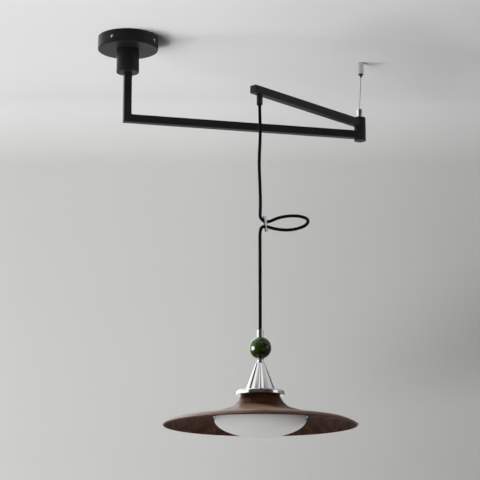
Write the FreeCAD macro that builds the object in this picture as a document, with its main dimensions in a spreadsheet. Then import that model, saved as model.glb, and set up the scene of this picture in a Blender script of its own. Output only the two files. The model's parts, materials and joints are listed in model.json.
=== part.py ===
import FreeCAD, Part
import math
import os
import Sketcher
from FreeCAD import Vector

doc = FreeCAD.newDocument("swing_pendant")

# sizes in millimetres and degrees, each written once
SIZES = [
    # canopy and what it holds
    ("canopy_dia", 126), ("canopy_high", 27), ("canopy_wall", 1.5), ("canopy_edge", 2.5),
    ("canopy_floor_hole", 22), ("plate_gap", 0.3), ("plate_thick", 1.5), ("plate_cable_hole", 34),
    ("plate_rim_under", 4.5),
    ("ceiling_hole_dia", 5), ("ceiling_hole_span", 84), ("screw_turn", 48), ("screw_clear", 0.1),
    ("side_screw_dia", 4), ("side_screw_head_dia", 7.6), ("side_screw_head_high", 2.2),
    ("side_screw_drop", 15), ("side_screw_long", 7),
    ("driver_long", 54), ("driver_wide", 24), ("driver_high", 13), ("driver_off", 34), ("driver_edge", 1.2),
    ("block_long", 34), ("block_wide", 16), ("block_high", 12), ("block_off", 33),
    ("block_way_dia", 4.8), ("block_way_pitch", 10.6), ("block_way_rise", 4.8),
    # canopy swivel
    ("stem_dia", 16), ("stem_bore", 9), ("stem_foot_dia", 36), ("stem_foot_high", 4), ("stem_proud", 1.5),
    ("bush_clear", 0.05), ("bush_flange_dia", 30), ("bush_flange_high", 2), ("bush_drop", 22),
    ("stem_washer_dia", 29), ("stem_washer_high", 1.5), ("stem_nut_flats", 24), ("stem_nut_high", 7),
    ("cup_dia", 47), ("cup_high", 48.6), ("cup_wall", 2), ("cup_floor", 3), ("cup_gap", 0.5),
    ("cup_edge", 1),
    # arms and elbow
    ("tube_size", 16), ("tube_wall", 1.2), ("tube_corner", 1), ("arm_drop", 148.4),
    ("main_long", 508), ("swing_long", 342), ("fold_turn", 33), ("arm_stack", 25.5),
    ("knuckle_dia", 25), ("knuckle_over", 13), ("knuckle_edge", 0.6), ("elbow_gap", 1),
    ("elbow_washer_inset", 1.2), ("pin_dia", 10), ("pin_clear", 0.05), ("pin_head_dia", 18),
    ("pin_proud", 0.2), ("pin_head_high", 3),
    ("bush_wall", 2), ("cap_thick", 2), ("cap_plug", 8), ("plug_gap", 0.2),
    # wire stay
    ("grip_dia", 11.5), ("grip_high", 18.1), ("grip_edge", 0.6), ("grip_tip_dia", 4.4), ("grip_tip_high", 2.4),
    ("grip_tip_edge", 0.6), ("wire_dia", 1.5), ("wire_let_in", 2),
    ("anchor_dia", 12.2), ("anchor_high", 26), ("anchor_edge", 1), ("anchor_stud", 5),
    ("anchor_stud_deep", 12), ("nipple_dia", 11.6), ("nipple_neck_dia", 5.4), ("nipple_tip_dia", 4),
    ("nipple_high", 7), ("nipple_collar", 1.8),
    ("anchor_out", 16.7), ("anchor_side", 38),
    # cord gland and cord
    ("gland_in", 20), ("gland_dia", 12.3), ("gland_high", 21.5), ("gland_edge", 0.8), ("gland_spigot", 9),
    ("gland_proud", 0.4), ("gland_nut_dia", 12), ("gland_nut_high", 2.5), ("gland_mouth", 9),
    ("gland_mouth_high", 3), ("set_screw_dia", 3), ("set_screw_rise", 6.5), ("set_screw_out", 1.6),
    ("set_screw_head_dia", 4.4), ("set_screw_turn", 60),
    ("cord_dia", 6.4), ("cord_clear", 0.15), ("cord_gap", 0.7), ("cord_tail_rise", 3), ("pivot_rise", 2.6),
    ("loop_turn", 14.5), ("loop_drop", 413), ("loop_wide", 97), ("loop_deep", 18), ("loop_fall", 31),
    ("adjust_long", 32.5), ("adjust_wide", 12), ("adjust_thick", 4.2), ("adjust_corner", 3.6),
    ("adjust_tilt", 9), ("adjust_twist", 16), ("adjust_out", 10.8), ("adjust_drop", 425.6), ("adjust_pitch", 12.4),
    # turned pieces above the shade
    ("ferrule_dia", 12.7), ("ferrule_drop", 639.3), ("ferrule_high", 14.4), ("ferrule_entry", 8),
    ("ferrule_edge", 0.8), ("ball_dia", 43.4), ("ball_flat_dia", 12.8),
    ("neck_dia", 14.6), ("neck_waist", 12.2), ("neck_high", 9.2), ("neck_bead", 1.2), ("neck_slope", 1),
    ("neck_foot", 0.8), ("cone_top_dia", 17.4), ("cone_base_dia", 59), ("cone_high", 54.65),
    ("cone_lip", 1.7), ("cone_cap", 3), ("flange_dia", 94), ("flange_thick", 9), ("flange_wall", 1.6),
    ("flange_lip_dia", 66),
    # wooden shade
    ("shade_dia", 380), ("shade_high", 58.5), ("shade_neck_dia", 76.6), ("shade_neck_curve", 38.5),
    ("shade_hip_dia", 124), ("shade_hip_up", 33.5), ("shade_slope_curve", 424),
    ("shade_brim_dia", 300), ("shade_brim_up", 13.5), ("shade_brim_curve", 72), ("rim_edge", 1),
    ("rim_flat", 2),
    ("shade_under_dia", 196), ("shade_under_up", 14.5), ("shade_under_curve", 520),
    ("recess_dia", 188), ("recess_up", 18.5), ("core_dia", 56), ("core_top", 8),
    # lamp and bowl
    ("rod_dia", 10), ("rod_bore", 7), ("rod_clear", 0.1), ("rod_tail", 3), ("rod_washer_dia", 26),
    ("rod_washer_high", 1.5), ("rod_nut_flats", 16), ("rod_nut_high", 5),
    ("lamp_plate_dia", 184), ("lamp_plate_thick", 2), ("board_dia", 140), ("board_hole", 44),
    ("board_thick", 1.6), ("chip_size", 5), ("chip_high", 0.8), ("chip_ring", 112),
    ("chip_inner", 74), ("chip_pitch", 19.5),
    ("plate_screw_dia", 3), ("plate_screw_head", 6), ("plate_screw_head_high", 1.8),
    ("plate_screw_ring", 152), ("plate_screw_long", 6), ("pilot_spare", 0.3),
    ("bowl_dia", 180), ("bowl_deep", 35.6), ("bowl_eq_up", 13), ("bowl_thick", 3), ("bowl_step", 0.5),
    ("bowl_mouth_dia", 163), ("clip_thick", 1), ("clip_leg", 3), ("clip_wide", 9), ("clip_in", 77),
    ("clip_out", 84.5),
]


class Q:
    # a size with its formula in the sheet
    def __init__(self, v, t):
        self.v = v
        self.t = t

    def _n(self, o):
        return o if isinstance(o, Q) else Q(float(o), repr(o))

    def __add__(self, o):
        o = self._n(o)
        return Q(self.v + o.v, "(%s + %s)" % (self.t, o.t))

    def __radd__(self, o):
        return self._n(o) + self

    def __sub__(self, o):
        o = self._n(o)
        return Q(self.v - o.v, "(%s - %s)" % (self.t, o.t))

    def __rsub__(self, o):
        return self._n(o) - self

    def __mul__(self, o):
        o = self._n(o)
        return Q(self.v * o.v, "%s * %s" % (self.t, o.t))

    def __rmul__(self, o):
        return self._n(o) * self

    def __truediv__(self, o):
        o = self._n(o)
        return Q(self.v / o.v, "%s / %s" % (self.t, o.t))

    def __neg__(self):
        return Q(-self.v, "(0 - %s)" % self.t)


def cosq(q):
    return Q(math.cos(math.radians(q.v)), "cos(%s * 1 deg)" % q.t)


def sinq(q):
    return Q(math.sin(math.radians(q.v)), "sin(%s * 1 deg)" % q.t)


def root2(q):
    return Q(math.sqrt(q.v), "sqrt(%s)" % q.t)


sheet = doc.addObject("Spreadsheet::Sheet", "dims")
for i, (alias, value) in enumerate(SIZES):
    sheet.set("A%d" % (i + 1), alias)
    sheet.set("B%d" % (i + 1), str(value))
    sheet.setAlias("B%d" % (i + 1), alias)
doc.recompute()
D = {}
for alias, value in SIZES:
    D[alias] = Q(float(sheet.get(alias)), "dims.%s" % alias)

NODES = []
# how far a cut runs past the face that it opens
OVERCUT = 1.0


def q(x):
    return x if isinstance(x, Q) else Q(float(x), repr(x))


def bind(obj, prop, val):
    val = q(val)
    obj.setExpression(prop, val.t)


def place(obj, x=None, y=None, z=None, turn=None):
    vals = [0 if c is None else q(c).v for c in (x, y, z)]
    ang = 0 if turn is None else q(turn).v
    obj.Placement = FreeCAD.Placement(Vector(*vals), FreeCAD.Rotation(Vector(0, 0, 1), ang))
    for axis, c in zip("xyz", (x, y, z)):
        if isinstance(c, Q):
            bind(obj, "Placement.Base.%s" % axis, c)
    if isinstance(turn, Q):
        obj.setExpression("Placement.Rotation.Angle", "%s * 1 deg" % turn.t)


def new_body(name):
    b = doc.addObject("PartDesign::Body", name)
    b.Label = name
    b.AllowCompound = True
    NODES.append(b)
    return b


def plane(b, role):
    return [f for f in b.Origin.OriginFeatures if f.Role == role][0]


def new_sketch(b, name, role, out=None):
    # sketch on a plane of the body's origin, or moved out from it
    s = b.newObject("Sketcher::SketchObject", name)
    s.AttachmentSupport = (plane(b, role), [""])
    s.MapMode = "FlatFace"
    if out is not None:
        s.AttachmentOffset = FreeCAD.Placement(Vector(0, 0, out.v), FreeCAD.Rotation())
        bind(s, "AttachmentOffset.Base.z", out)
    return s


def fix_point(s, geo, pos, x, y):
    for kind, val, axis in (("DistanceX", q(x), -2), ("DistanceY", q(y), -1)):
        if abs(val.v) < 1e-9:
            s.addConstraint(Sketcher.Constraint("PointOnObject", geo, pos, axis))
        else:
            n = s.addConstraint(Sketcher.Constraint(kind, -1, 1, geo, pos, val.v))
            s.setExpression("Constraints[%d]" % n, val.t)


def outline(s, pts):
    # closed outline; a point may carry (radius, side) for the arc that follows it
    n = len(pts)
    ends = []
    for i in range(n):
        a, b = pts[i], pts[(i + 1) % n]
        pa = Vector(q(a[0]).v, q(a[1]).v, 0)
        pb = Vector(q(b[0]).v, q(b[1]).v, 0)
        if len(a) > 2:
            rad, side = q(a[2]), a[3]
            mid, half = (pa + pb) * 0.5, (pb - pa).Length / 2
            d = (pb - pa).normalize()
            nrm = Vector(-d.y, d.x, 0)
            h = math.sqrt(max(rad.v ** 2 - half ** 2, 0))
            # side +1 puts the centre on the left of the way from a to b
            c = mid + nrm * (h * side)
            s0 = math.atan2(pa.y - c.y, pa.x - c.x)
            s1 = math.atan2(pb.y - c.y, pb.x - c.x)
            ring = Part.Circle(c, Vector(0, 0, 1), rad.v)
            if side > 0:
                g = s.addGeometry(Part.ArcOfCircle(ring, s0, s1))
                ends.append((g, 1, 2))
            else:
                g = s.addGeometry(Part.ArcOfCircle(ring, s1, s0))
                ends.append((g, 2, 1))
            k = s.addConstraint(Sketcher.Constraint("Radius", g, rad.v))
            s.setExpression("Constraints[%d]" % k, rad.t)
        else:
            g = s.addGeometry(Part.LineSegment(pa, pb))
            ends.append((g, 1, 2))
    for i in range(n):
        g, _, e = ends[i]
        h, st, _ = ends[(i + 1) % n]
        s.addConstraint(Sketcher.Constraint("Coincident", g, e, h, st))
    for i in range(n):
        fix_point(s, ends[i][0], ends[i][1], pts[i][0], pts[i][1])


def circle(s, r, x=0, y=0):
    r = q(r)
    g = s.addGeometry(Part.Circle(Vector(q(x).v, q(y).v, 0), Vector(0, 0, 1), r.v))
    k = s.addConstraint(Sketcher.Constraint("Radius", g, r.v))
    s.setExpression("Constraints[%d]" % k, r.t)
    fix_point(s, g, 3, x, y)


def spin(name, pts):
    # turned piece on an upright axis, from its outline of radius and height
    b = new_body(name)
    s = new_sketch(b, name + "_profile", "XZ_Plane")
    outline(s, pts)
    r = b.newObject("PartDesign::Revolution", name + "_turned")
    r.Profile = s
    r.ReferenceAxis = (s, ["V_Axis"])
    r.Angle = 360
    doc.recompute()
    return b


def pad(b, s, name, length, reverse=False, both=False):
    p = b.newObject("PartDesign::Pad", name)
    p.Profile = s
    p.Length = q(length).v
    bind(p, "Length", length)
    p.Reversed = reverse
    if both:
        p.SideType = "Symmetric"
    doc.recompute()
    return p


def cut(b, s, name, length, reverse=False, both=False):
    before = b.Shape.Volume
    p = b.newObject("PartDesign::Pocket", name)
    p.Profile = s
    p.Length = q(length).v
    bind(p, "Length", length)
    p.Reversed = reverse
    if both:
        p.SideType = "Symmetric"
    doc.recompute()
    if b.Shape.Volume > before - 1e-3:
        raise RuntimeError("no material taken by " + name)
    return p


def ring_of(b, feats, name, count, sweep=360):
    m = b.newObject("PartDesign::PolarPattern", name)
    m.Originals = feats
    m.Axis = (plane(b, "Z_Axis"), [""])
    m.Angle = sweep
    m.Occurrences = count
    b.Tip = m
    doc.recompute()
    return m


def rect(s, x0, x1, y0, y1):
    outline(s, [(x0, y0), (x1, y0), (x1, y1), (x0, y1)])


def rounded_rect(s, wide, high, corner):
    # half width and half height about the centre
    c = corner
    outline(s, [
        (-wide + c, -high), (wide - c, -high, c, 1), (wide, -high + c), (wide, high - c, c, 1),
        (wide - c, high),
        (-wide + c, high, c, 1), (-wide, high - c), (-wide, -high + c, c, 1)])


def tube_section(s, half, wall, corner):
    # square tube with rounded outer corners
    inner = half - wall
    rounded_rect(s, half, half, corner)
    rect(s, -inner, inner, -inner, inner)


def hexagon(s, flats):
    # corners of a nut by its width across flats
    c, h = flats / math.sqrt(3), flats / 2
    outline(s, [(c, 0), (c / 2, h), (-c / 2, h), (-c, 0), (-c / 2, -h), (c / 2, -h)])


# heights of the main levels
z_floor = -D["canopy_high"]
z_main = z_floor - D["arm_drop"]
z_swing = z_main + D["arm_stack"]
z_mid = z_main + D["arm_stack"] / 2
tube_half = D["tube_size"] / 2

# ceiling plate, whose rim takes the canopy's side screws
can_r = D["canopy_dia"] / 2
plate_r = can_r - D["canopy_wall"] - D["plate_gap"]
hole_r = D["plate_cable_hole"] / 2
pt = D["plate_thick"]
z_rim = -D["side_screw_drop"] - D["plate_rim_under"]
ceiling_plate = spin("ceiling_plate", [
    (hole_r, 0), (plate_r, 0), (plate_r, z_rim), (plate_r - pt, z_rim), (plate_r - pt, -pt), (hole_r, -pt)])
place(ceiling_plate, turn=D["screw_turn"])
sk = new_sketch(ceiling_plate, "ceiling_holes", "XY_Plane")
hole_x = D["ceiling_hole_span"] / 2 * cosq(D["screw_turn"])
hole_y = D["ceiling_hole_span"] / 2 * sinq(D["screw_turn"])
circle(sk, D["ceiling_hole_dia"] / 2, hole_x, -hole_y)
circle(sk, D["ceiling_hole_dia"] / 2, -hole_x, hole_y)
cut(ceiling_plate, sk, "ceiling_holes_cut", pt * 4, both=True)
sk = new_sketch(ceiling_plate, "tapped_holes", "XZ_Plane")
circle(sk, D["side_screw_dia"] / 2, 0, -D["side_screw_drop"])
c = cut(ceiling_plate, sk, "tapped_holes_cut", D["canopy_dia"] * 2, both=True)
ring_of(ceiling_plate, [c], "tapped_holes_ring", 2, 90)

# canopy
edge = D["canopy_edge"]
canopy_cover = spin("canopy_cover", [
    (D["canopy_floor_hole"] / 2, z_floor), (can_r - edge, z_floor, edge, 1), (can_r, z_floor + edge),
    (can_r, 0), (can_r - D["canopy_wall"], 0), (can_r - D["canopy_wall"], z_floor + D["canopy_wall"]),
    (D["canopy_floor_hole"] / 2, z_floor + D["canopy_wall"])])
place(canopy_cover, turn=D["screw_turn"])
sk = new_sketch(canopy_cover, "screw_holes", "XZ_Plane")
circle(sk, D["side_screw_dia"] / 2 + D["screw_clear"], 0, -D["side_screw_drop"])
c = cut(canopy_cover, sk, "screw_holes_cut", D["canopy_dia"] * 2, both=True)
ring_of(canopy_cover, [c], "screw_holes_ring", 2, 90)

side_screws = new_body("canopy_side_screws")
feats = []
for tag, rad, length, back in (("head", D["side_screw_head_dia"] / 2, D["side_screw_head_high"], False),
                               ("shank", D["side_screw_dia"] / 2, D["side_screw_long"], True)):
    sk = new_sketch(side_screws, "side_screw_" + tag, "XZ_Plane", can_r)
    circle(sk, rad, 0, -D["side_screw_drop"])
    feats.append(pad(side_screws, sk, "side_screw_%s_pad" % tag, length, reverse=back))
ring_of(side_screws, feats, "side_screws_ring", 4)
place(side_screws, turn=D["screw_turn"])

# driver and terminal block on the canopy's floor
z_in = z_floor + D["canopy_wall"]
led_driver = new_body("led_driver")
sk = new_sketch(led_driver, "driver_foot", "XY_Plane")
rect(sk, -D["driver_long"] / 2, D["driver_long"] / 2, -D["driver_wide"] / 2, D["driver_wide"] / 2)
p = pad(led_driver, sk, "driver_case", D["driver_high"])
f = led_driver.newObject("PartDesign::Chamfer", "driver_edges")
f.Base = (p, ["Face6"])
f.Size = D["driver_edge"].v
bind(f, "Size", D["driver_edge"])
doc.recompute()
place(led_driver, 0, D["driver_off"], z_in)

terminal_block = new_body("terminal_block")
sk = new_sketch(terminal_block, "block_foot", "XY_Plane")
rect(sk, -D["block_long"] / 2, D["block_long"] / 2, -D["block_wide"] / 2, D["block_wide"] / 2)
pad(terminal_block, sk, "block_case", D["block_high"])
sk = new_sketch(terminal_block, "block_ways", "XZ_Plane")
for k in (-1, 0, 1):
    circle(sk, D["block_way_dia"] / 2, D["block_way_pitch"] * k, D["block_way_rise"])
cut(terminal_block, sk, "block_ways_cut", D["block_wide"] * 2, both=True)
place(terminal_block, 0, -D["block_off"], z_in)

stem_r = D["stem_dia"] / 2
bush_r = stem_r + D["bush_clear"]
spin("swivel_bush", [
    (bush_r, z_floor - D["bush_drop"]), (D["canopy_floor_hole"] / 2, z_floor - D["bush_drop"]),
    (D["canopy_floor_hole"] / 2, z_in), (D["bush_flange_dia"] / 2, z_in),
    (D["bush_flange_dia"] / 2, z_in + D["bush_flange_high"]), (bush_r, z_in + D["bush_flange_high"])])

# turning part of the canopy swivel
z_cup = z_floor - D["cup_gap"]
z_cup_low = z_cup - D["cup_high"]
z_foot = z_cup_low + D["cup_floor"]
z_wash = z_in + D["bush_flange_high"]
z_nut = z_wash + D["stem_washer_high"]
z_stem = z_nut + D["stem_nut_high"] + D["stem_proud"]
bore_r = D["stem_bore"] / 2
spin("swivel_stem", [
    (bore_r, z_foot), (D["stem_foot_dia"] / 2, z_foot),
    (D["stem_foot_dia"] / 2, z_foot + D["stem_foot_high"]),
    (stem_r, z_foot + D["stem_foot_high"]), (stem_r, z_stem), (bore_r, z_stem)])
spin("swivel_washer", [
    (stem_r, z_wash), (D["stem_washer_dia"] / 2, z_wash), (D["stem_washer_dia"] / 2, z_nut),
    (stem_r, z_nut)])
swivel_nut = new_body("swivel_nut")
sk = new_sketch(swivel_nut, "swivel_nut_flats", "XY_Plane")
hexagon(sk, D["stem_nut_flats"])
circle(sk, stem_r)
pad(swivel_nut, sk, "swivel_nut_pad", D["stem_nut_high"])
place(swivel_nut, 0, 0, z_nut)
cup_r, cup_edge = D["cup_dia"] / 2, D["cup_edge"]
spin("swivel_cup", [
    (bore_r, z_cup_low), (cup_r - cup_edge, z_cup_low, cup_edge, 1), (cup_r, z_cup_low + cup_edge),
    (cup_r, z_cup),
    (cup_r - D["cup_wall"], z_cup), (cup_r - D["cup_wall"], z_foot), (bore_r, z_foot)])

# square tubes, mitred where the drop meets the main arm
drop_tube = new_body("drop_tube")
sk = new_sketch(drop_tube, "drop_section", "XY_Plane")
tube_section(sk, tube_half, D["tube_wall"], D["tube_corner"])
pad(drop_tube, sk, "drop_pad", z_cup_low - z_main + tube_half)
sk = new_sketch(drop_tube, "drop_mitre", "XZ_Plane")
outline(sk, [(-tube_half - OVERCUT, -OVERCUT), (tube_half + OVERCUT, -OVERCUT),
             (tube_half + OVERCUT, D["tube_size"] + OVERCUT)])
cut(drop_tube, sk, "drop_mitre_cut", D["tube_size"] * 2, both=True)
place(drop_tube, 0, 0, z_main - tube_half)

main_tube = new_body("main_arm_tube")
sk = new_sketch(main_tube, "main_section", "YZ_Plane")
tube_section(sk, tube_half, D["tube_wall"], D["tube_corner"])
pad(main_tube, sk, "main_pad", D["main_long"] + tube_half)
sk = new_sketch(main_tube, "main_mitre", "XZ_Plane")
outline(sk, [(-OVERCUT, -tube_half - OVERCUT), (D["tube_size"] + OVERCUT, tube_half + OVERCUT),
             (-OVERCUT, tube_half + OVERCUT)])
cut(main_tube, sk, "main_mitre_cut", D["tube_size"] * 2, both=True)
sk = new_sketch(main_tube, "main_cope", "XY_Plane")
circle(sk, D["knuckle_dia"] / 2, D["main_long"] + tube_half, 0)
cut(main_tube, sk, "main_cope_cut", D["tube_size"] * 2, both=True)
place(main_tube, -tube_half, 0, z_main)

# elbow
kn_r, kn_edge = D["knuckle_dia"] / 2, D["knuckle_edge"]
pin_r = D["pin_dia"] / 2
head_r = D["pin_head_dia"] / 2
run_r = pin_r + D["pin_clear"]
z_el = z_main - D["knuckle_over"]
z_eh = z_swing + D["knuckle_over"]
z_e0 = z_mid - D["elbow_gap"] / 2
z_e1 = z_mid + D["elbow_gap"] / 2
z_head = z_el + D["pin_head_high"]
z_pin = z_eh + D["pin_proud"]
ELBOW = D["main_long"]
REACH = D["swing_long"] - D["gland_in"]
lower_knuckle = spin("elbow_lower_knuckle", [
    (head_r, z_el), (kn_r - kn_edge, z_el), (kn_r, z_el + kn_edge), (kn_r, z_e0), (pin_r, z_e0),
    (pin_r, z_head), (head_r, z_head)])
pivot_pin = spin("elbow_pivot_pin", [
    (0, z_el), (head_r, z_el), (head_r, z_head), (pin_r, z_head), (pin_r, z_pin), (0, z_pin)])
washer_r = kn_r - D["elbow_washer_inset"]
elbow_washer = spin("elbow_washer", [(run_r, z_e0), (washer_r, z_e0), (washer_r, z_e1), (run_r, z_e1)])

# wire gripper on top of the pin
grip_r, grip_edge = D["grip_dia"] / 2, D["grip_edge"]
z_grip = z_pin + D["grip_high"]
gripper = spin("wire_gripper", [
    (0, z_pin), (grip_r - kn_edge, z_pin), (grip_r, z_pin + kn_edge), (grip_r, z_grip - grip_edge),
    (grip_r - grip_edge, z_grip), (0, z_grip)])
z_tip = z_grip + D["grip_tip_high"]
tip_r, tip_edge = D["grip_tip_dia"] / 2, D["grip_tip_edge"]
collet = spin("gripper_collet", [
    (0, z_grip), (tip_r, z_grip), (tip_r, z_tip - tip_edge), (tip_r - tip_edge, z_tip), (0, z_tip)])
for b in (lower_knuckle, pivot_pin, elbow_washer, gripper, collet):
    place(b, ELBOW, 0, 0)

# ceiling anchor, hollow for its stud
anc_r, anc_edge, stud_r = D["anchor_dia"] / 2, D["anchor_edge"], D["anchor_stud"] / 2
z_anc = -D["anchor_high"]
anchor = spin("anchor_barrel", [
    (stud_r, 0), (anc_r, 0), (anc_r, z_anc + anc_edge), (anc_r - anc_edge, z_anc), (0, z_anc),
    (0, -D["anchor_stud_deep"]), (stud_r, -D["anchor_stud_deep"])])
z_nip = z_anc - D["nipple_high"]
nip_r = D["nipple_dia"] / 2
nipple = spin("anchor_nipple", [
    (0, z_anc), (nip_r, z_anc), (nip_r, z_anc - D["nipple_collar"]),
    (D["nipple_neck_dia"] / 2, z_anc - D["nipple_collar"]), (D["nipple_tip_dia"] / 2, z_nip), (0, z_nip)])
ANCHOR = (ELBOW + D["anchor_out"], D["anchor_side"])
for b in (anchor, nipple):
    place(b, ANCHOR[0], ANCHOR[1], 0)

# support wire, straight from the gripper to the ceiling anchor and let in at each end
w0 = Vector(ELBOW.v, 0, z_tip.v)
w1 = Vector(ANCHOR[0].v, ANCHOR[1].v, z_nip.v)
let_in = D["wire_let_in"].v
wdir = (w1 - w0).normalize()
wire = doc.addObject("Part::Feature", "support_wire")
wire.Label = "support_wire"
wire.Shape = Part.makeCylinder(D["wire_dia"].v / 2, (w1 - w0).Length + 2 * let_in, w0 - wdir * let_in, wdir)
NODES.append(wire)

# swing arm
bush_out = run_r + D["bush_wall"]
upper_knuckle = spin("elbow_upper_knuckle", [
    (bush_out, z_e1), (kn_r, z_e1), (kn_r, z_eh - kn_edge), (kn_r - kn_edge, z_eh), (bush_out, z_eh)])
elbow_bush = spin("elbow_bush", [(run_r, z_e1), (bush_out, z_e1), (bush_out, z_eh), (run_r, z_eh)])
for b in (upper_knuckle, elbow_bush):
    place(b, ELBOW, 0, 0)

swing_tube = new_body("swing_arm_tube")
sk = new_sketch(swing_tube, "swing_section", "YZ_Plane")
tube_section(sk, tube_half, D["tube_wall"], D["tube_corner"])
pad(swing_tube, sk, "swing_pad", D["swing_long"] - D["cap_thick"], reverse=True)
sk = new_sketch(swing_tube, "swing_cope", "XY_Plane")
circle(sk, kn_r)
cut(swing_tube, sk, "swing_cope_cut", D["tube_size"] * 2, both=True)
sk = new_sketch(swing_tube, "gland_hole", "XY_Plane")
circle(sk, D["gland_spigot"] / 2, -REACH, 0)
cut(swing_tube, sk, "gland_hole_cut", D["tube_size"])
place(swing_tube, ELBOW, 0, z_swing, D["fold_turn"])

end_cap = new_body("swing_end_cap")
sk = new_sketch(end_cap, "cap_face", "YZ_Plane", -D["swing_long"])
rounded_rect(sk, tube_half, tube_half, D["tube_corner"])
pad(end_cap, sk, "cap_plate", D["cap_thick"])
sk = new_sketch(end_cap, "cap_plug", "YZ_Plane", D["cap_thick"] - D["swing_long"])
plug = tube_half - D["tube_wall"] - D["plug_gap"]
rect(sk, -plug, plug, -plug, plug)
pad(end_cap, sk, "cap_plug_pad", D["cap_plug"])
place(end_cap, ELBOW, 0, z_swing, D["fold_turn"])

# cord gland under the tip of the swing arm
PX = ELBOW - REACH * cosq(D["fold_turn"])
PY = -REACH * sinq(D["fold_turn"])
cord_r = D["cord_dia"] / 2
z_gt = z_swing - tube_half
z_gb = z_gt - D["gland_high"]
z_seat = z_gt + D["tube_wall"]
z_gs = z_seat + D["gland_nut_high"] + D["gland_proud"]
gl_r, gl_edge, spigot_r = D["gland_dia"] / 2, D["gland_edge"], D["gland_spigot"] / 2
gland_bore = cord_r + D["cord_clear"]
gland = spin("cord_gland", [
    (gland_bore, z_gs), (spigot_r, z_gs), (spigot_r, z_gt), (gl_r, z_gt), (gl_r, z_gb + gl_edge),
    (gl_r - gl_edge, z_gb), (D["gland_mouth"] / 2, z_gb), (gland_bore, z_gb + D["gland_mouth_high"])])
sk = new_sketch(gland, "set_screw_hole", "YZ_Plane")
circle(sk, D["set_screw_dia"] / 2, 0, z_gb + D["set_screw_rise"])
cut(gland, sk, "set_screw_hole_cut", D["gland_dia"], reverse=True)
place(gland, PX, PY, 0, -D["set_screw_turn"])
gland_nut = spin("gland_nut", [
    (spigot_r, z_seat), (D["gland_nut_dia"] / 2, z_seat),
    (D["gland_nut_dia"] / 2, z_seat + D["gland_nut_high"]), (spigot_r, z_seat + D["gland_nut_high"])])
place(gland_nut, PX, PY, 0)
set_screw = new_body("gland_set_screw")
for tag, rad, start, length in (
        ("shank", D["set_screw_dia"] / 2, cord_r, gl_r - cord_r),
        ("head", D["set_screw_head_dia"] / 2, gl_r, D["set_screw_out"])):
    sk = new_sketch(set_screw, "set_screw_" + tag, "YZ_Plane", start)
    circle(sk, rad, 0, z_gb + D["set_screw_rise"])
    pad(set_screw, sk, "set_screw_%s_pad" % tag, length)
place(set_screw, PX, PY, 0, -D["set_screw_turn"])
z_piv = z_gb + D["pivot_rise"]
z_tail = z_swing + D["cord_tail_rise"]
cord_tail = spin("arm_cord_tail", [
    (0, z_piv + D["cord_gap"]), (cord_r, z_piv + D["cord_gap"]), (cord_r, z_tail), (0, z_tail)])
place(cord_tail, PX, PY, 0)

# pendant cord: its route to the right, back and up, with the loop in shares of its width, depth and fall
LOOP = [
    (0, 0, 0), (0.113, 0.11, -0.274), (0.412, 0.667, 0.161), (0.763, 0.944, 0.29), (1, 0.222, -0.032),
    (0.948, -0.889, -0.645), (0.639, -1, -0.91), (0.33, -0.5, -0.8), (0.129, -0.056, -0.597), (0, 0, -1)]
# share of a run that the arc at its end takes
ARC_SHARE = 0.45
z_ferr = -D["ferrule_drop"]
z_entry = z_ferr - D["ferrule_entry"]
wide, deep, fall = D["loop_wide"].v, D["loop_deep"].v, D["loop_fall"].v
ROUTE = [(0, 0, z_piv.v), *[(u * wide, v * deep, h * fall - D["loop_drop"].v) for u, v, h in LOOP],
         (0, 0, z_entry.v)]
ct, st = math.cos(math.radians(D["loop_turn"].v)), math.sin(math.radians(D["loop_turn"].v))
pts = [Vector(PX.v + u * ct + v * st, PY.v - u * st + v * ct, z) for u, v, z in ROUTE]


def tube_along(pts, radius):
    # straight runs joined by arcs as large as the shorter run of each corner allows
    edges, last = [], pts[0]
    for i in range(1, len(pts) - 1):
        a, b, c = pts[i - 1], pts[i], pts[i + 1]
        d0, d1 = (b - a), (c - b)
        turn = d0.getAngle(d1)
        rad = ARC_SHARE * min(d0.Length, d1.Length) / math.tan(turn / 2)
        back = rad * math.tan(turn / 2)
        d0n, d1n = d0.normalize(), d1.normalize()
        p0, p1 = b - d0n * back, b + d1n * back
        inward = (d1n - d0n).normalize()
        mid = b + inward * (rad / math.cos(turn / 2) - rad)
        edges.append(Part.LineSegment(last, p0).toShape())
        edges.append(Part.Arc(p0, mid, p1).toShape())
        last = p1
        print("bend %d radius %.1f turn %.0f" % (i, rad, math.degrees(turn)))
    edges.append(Part.LineSegment(last, pts[-1]).toShape())
    path = Part.Wire(edges)
    start = (pts[1] - pts[0]).normalize()
    ring = Part.Wire([Part.Circle(pts[0], start, radius).toShape()])
    solid = path.makePipeShell([ring], True, False)
    print("cord length %.1f volume ratio %.4f" % (
        path.Length, solid.Volume / (math.pi * radius ** 2 * path.Length)))
    return solid


cord = doc.addObject("Part::Feature", "pendant_cord")
cord.Label = "pendant_cord"
cord.Shape = tube_along(pts, cord_r.v)
NODES.append(cord)

# plate with two eyes that holds the loop
adjuster = new_body("cord_adjuster")
sk = new_sketch(adjuster, "adjuster_face", "YZ_Plane")
rounded_rect(sk, D["adjust_wide"] / 2, D["adjust_long"] / 2, D["adjust_corner"])
circle(sk, cord_r + D["cord_clear"], 0, D["adjust_pitch"] / 2)
circle(sk, cord_r + D["cord_clear"], 0, -D["adjust_pitch"] / 2)
pad(adjuster, sk, "adjuster_plate", D["adjust_thick"], both=True)
ao = D["adjust_out"]
turn = FreeCAD.Rotation(Vector(0, 0, 1), D["adjust_twist"].v - D["loop_turn"].v)
lean = FreeCAD.Rotation(Vector(0, 1, 0), -D["adjust_tilt"].v)
adjuster.Placement = FreeCAD.Placement(
    Vector(PX.v + ao.v * ct, PY.v - ao.v * st, -D["adjust_drop"].v), turn.multiply(lean))
bind(adjuster, "Placement.Base.x", PX + ao * cosq(D["loop_turn"]))
bind(adjuster, "Placement.Base.y", PY - ao * sinq(D["loop_turn"]))
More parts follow.
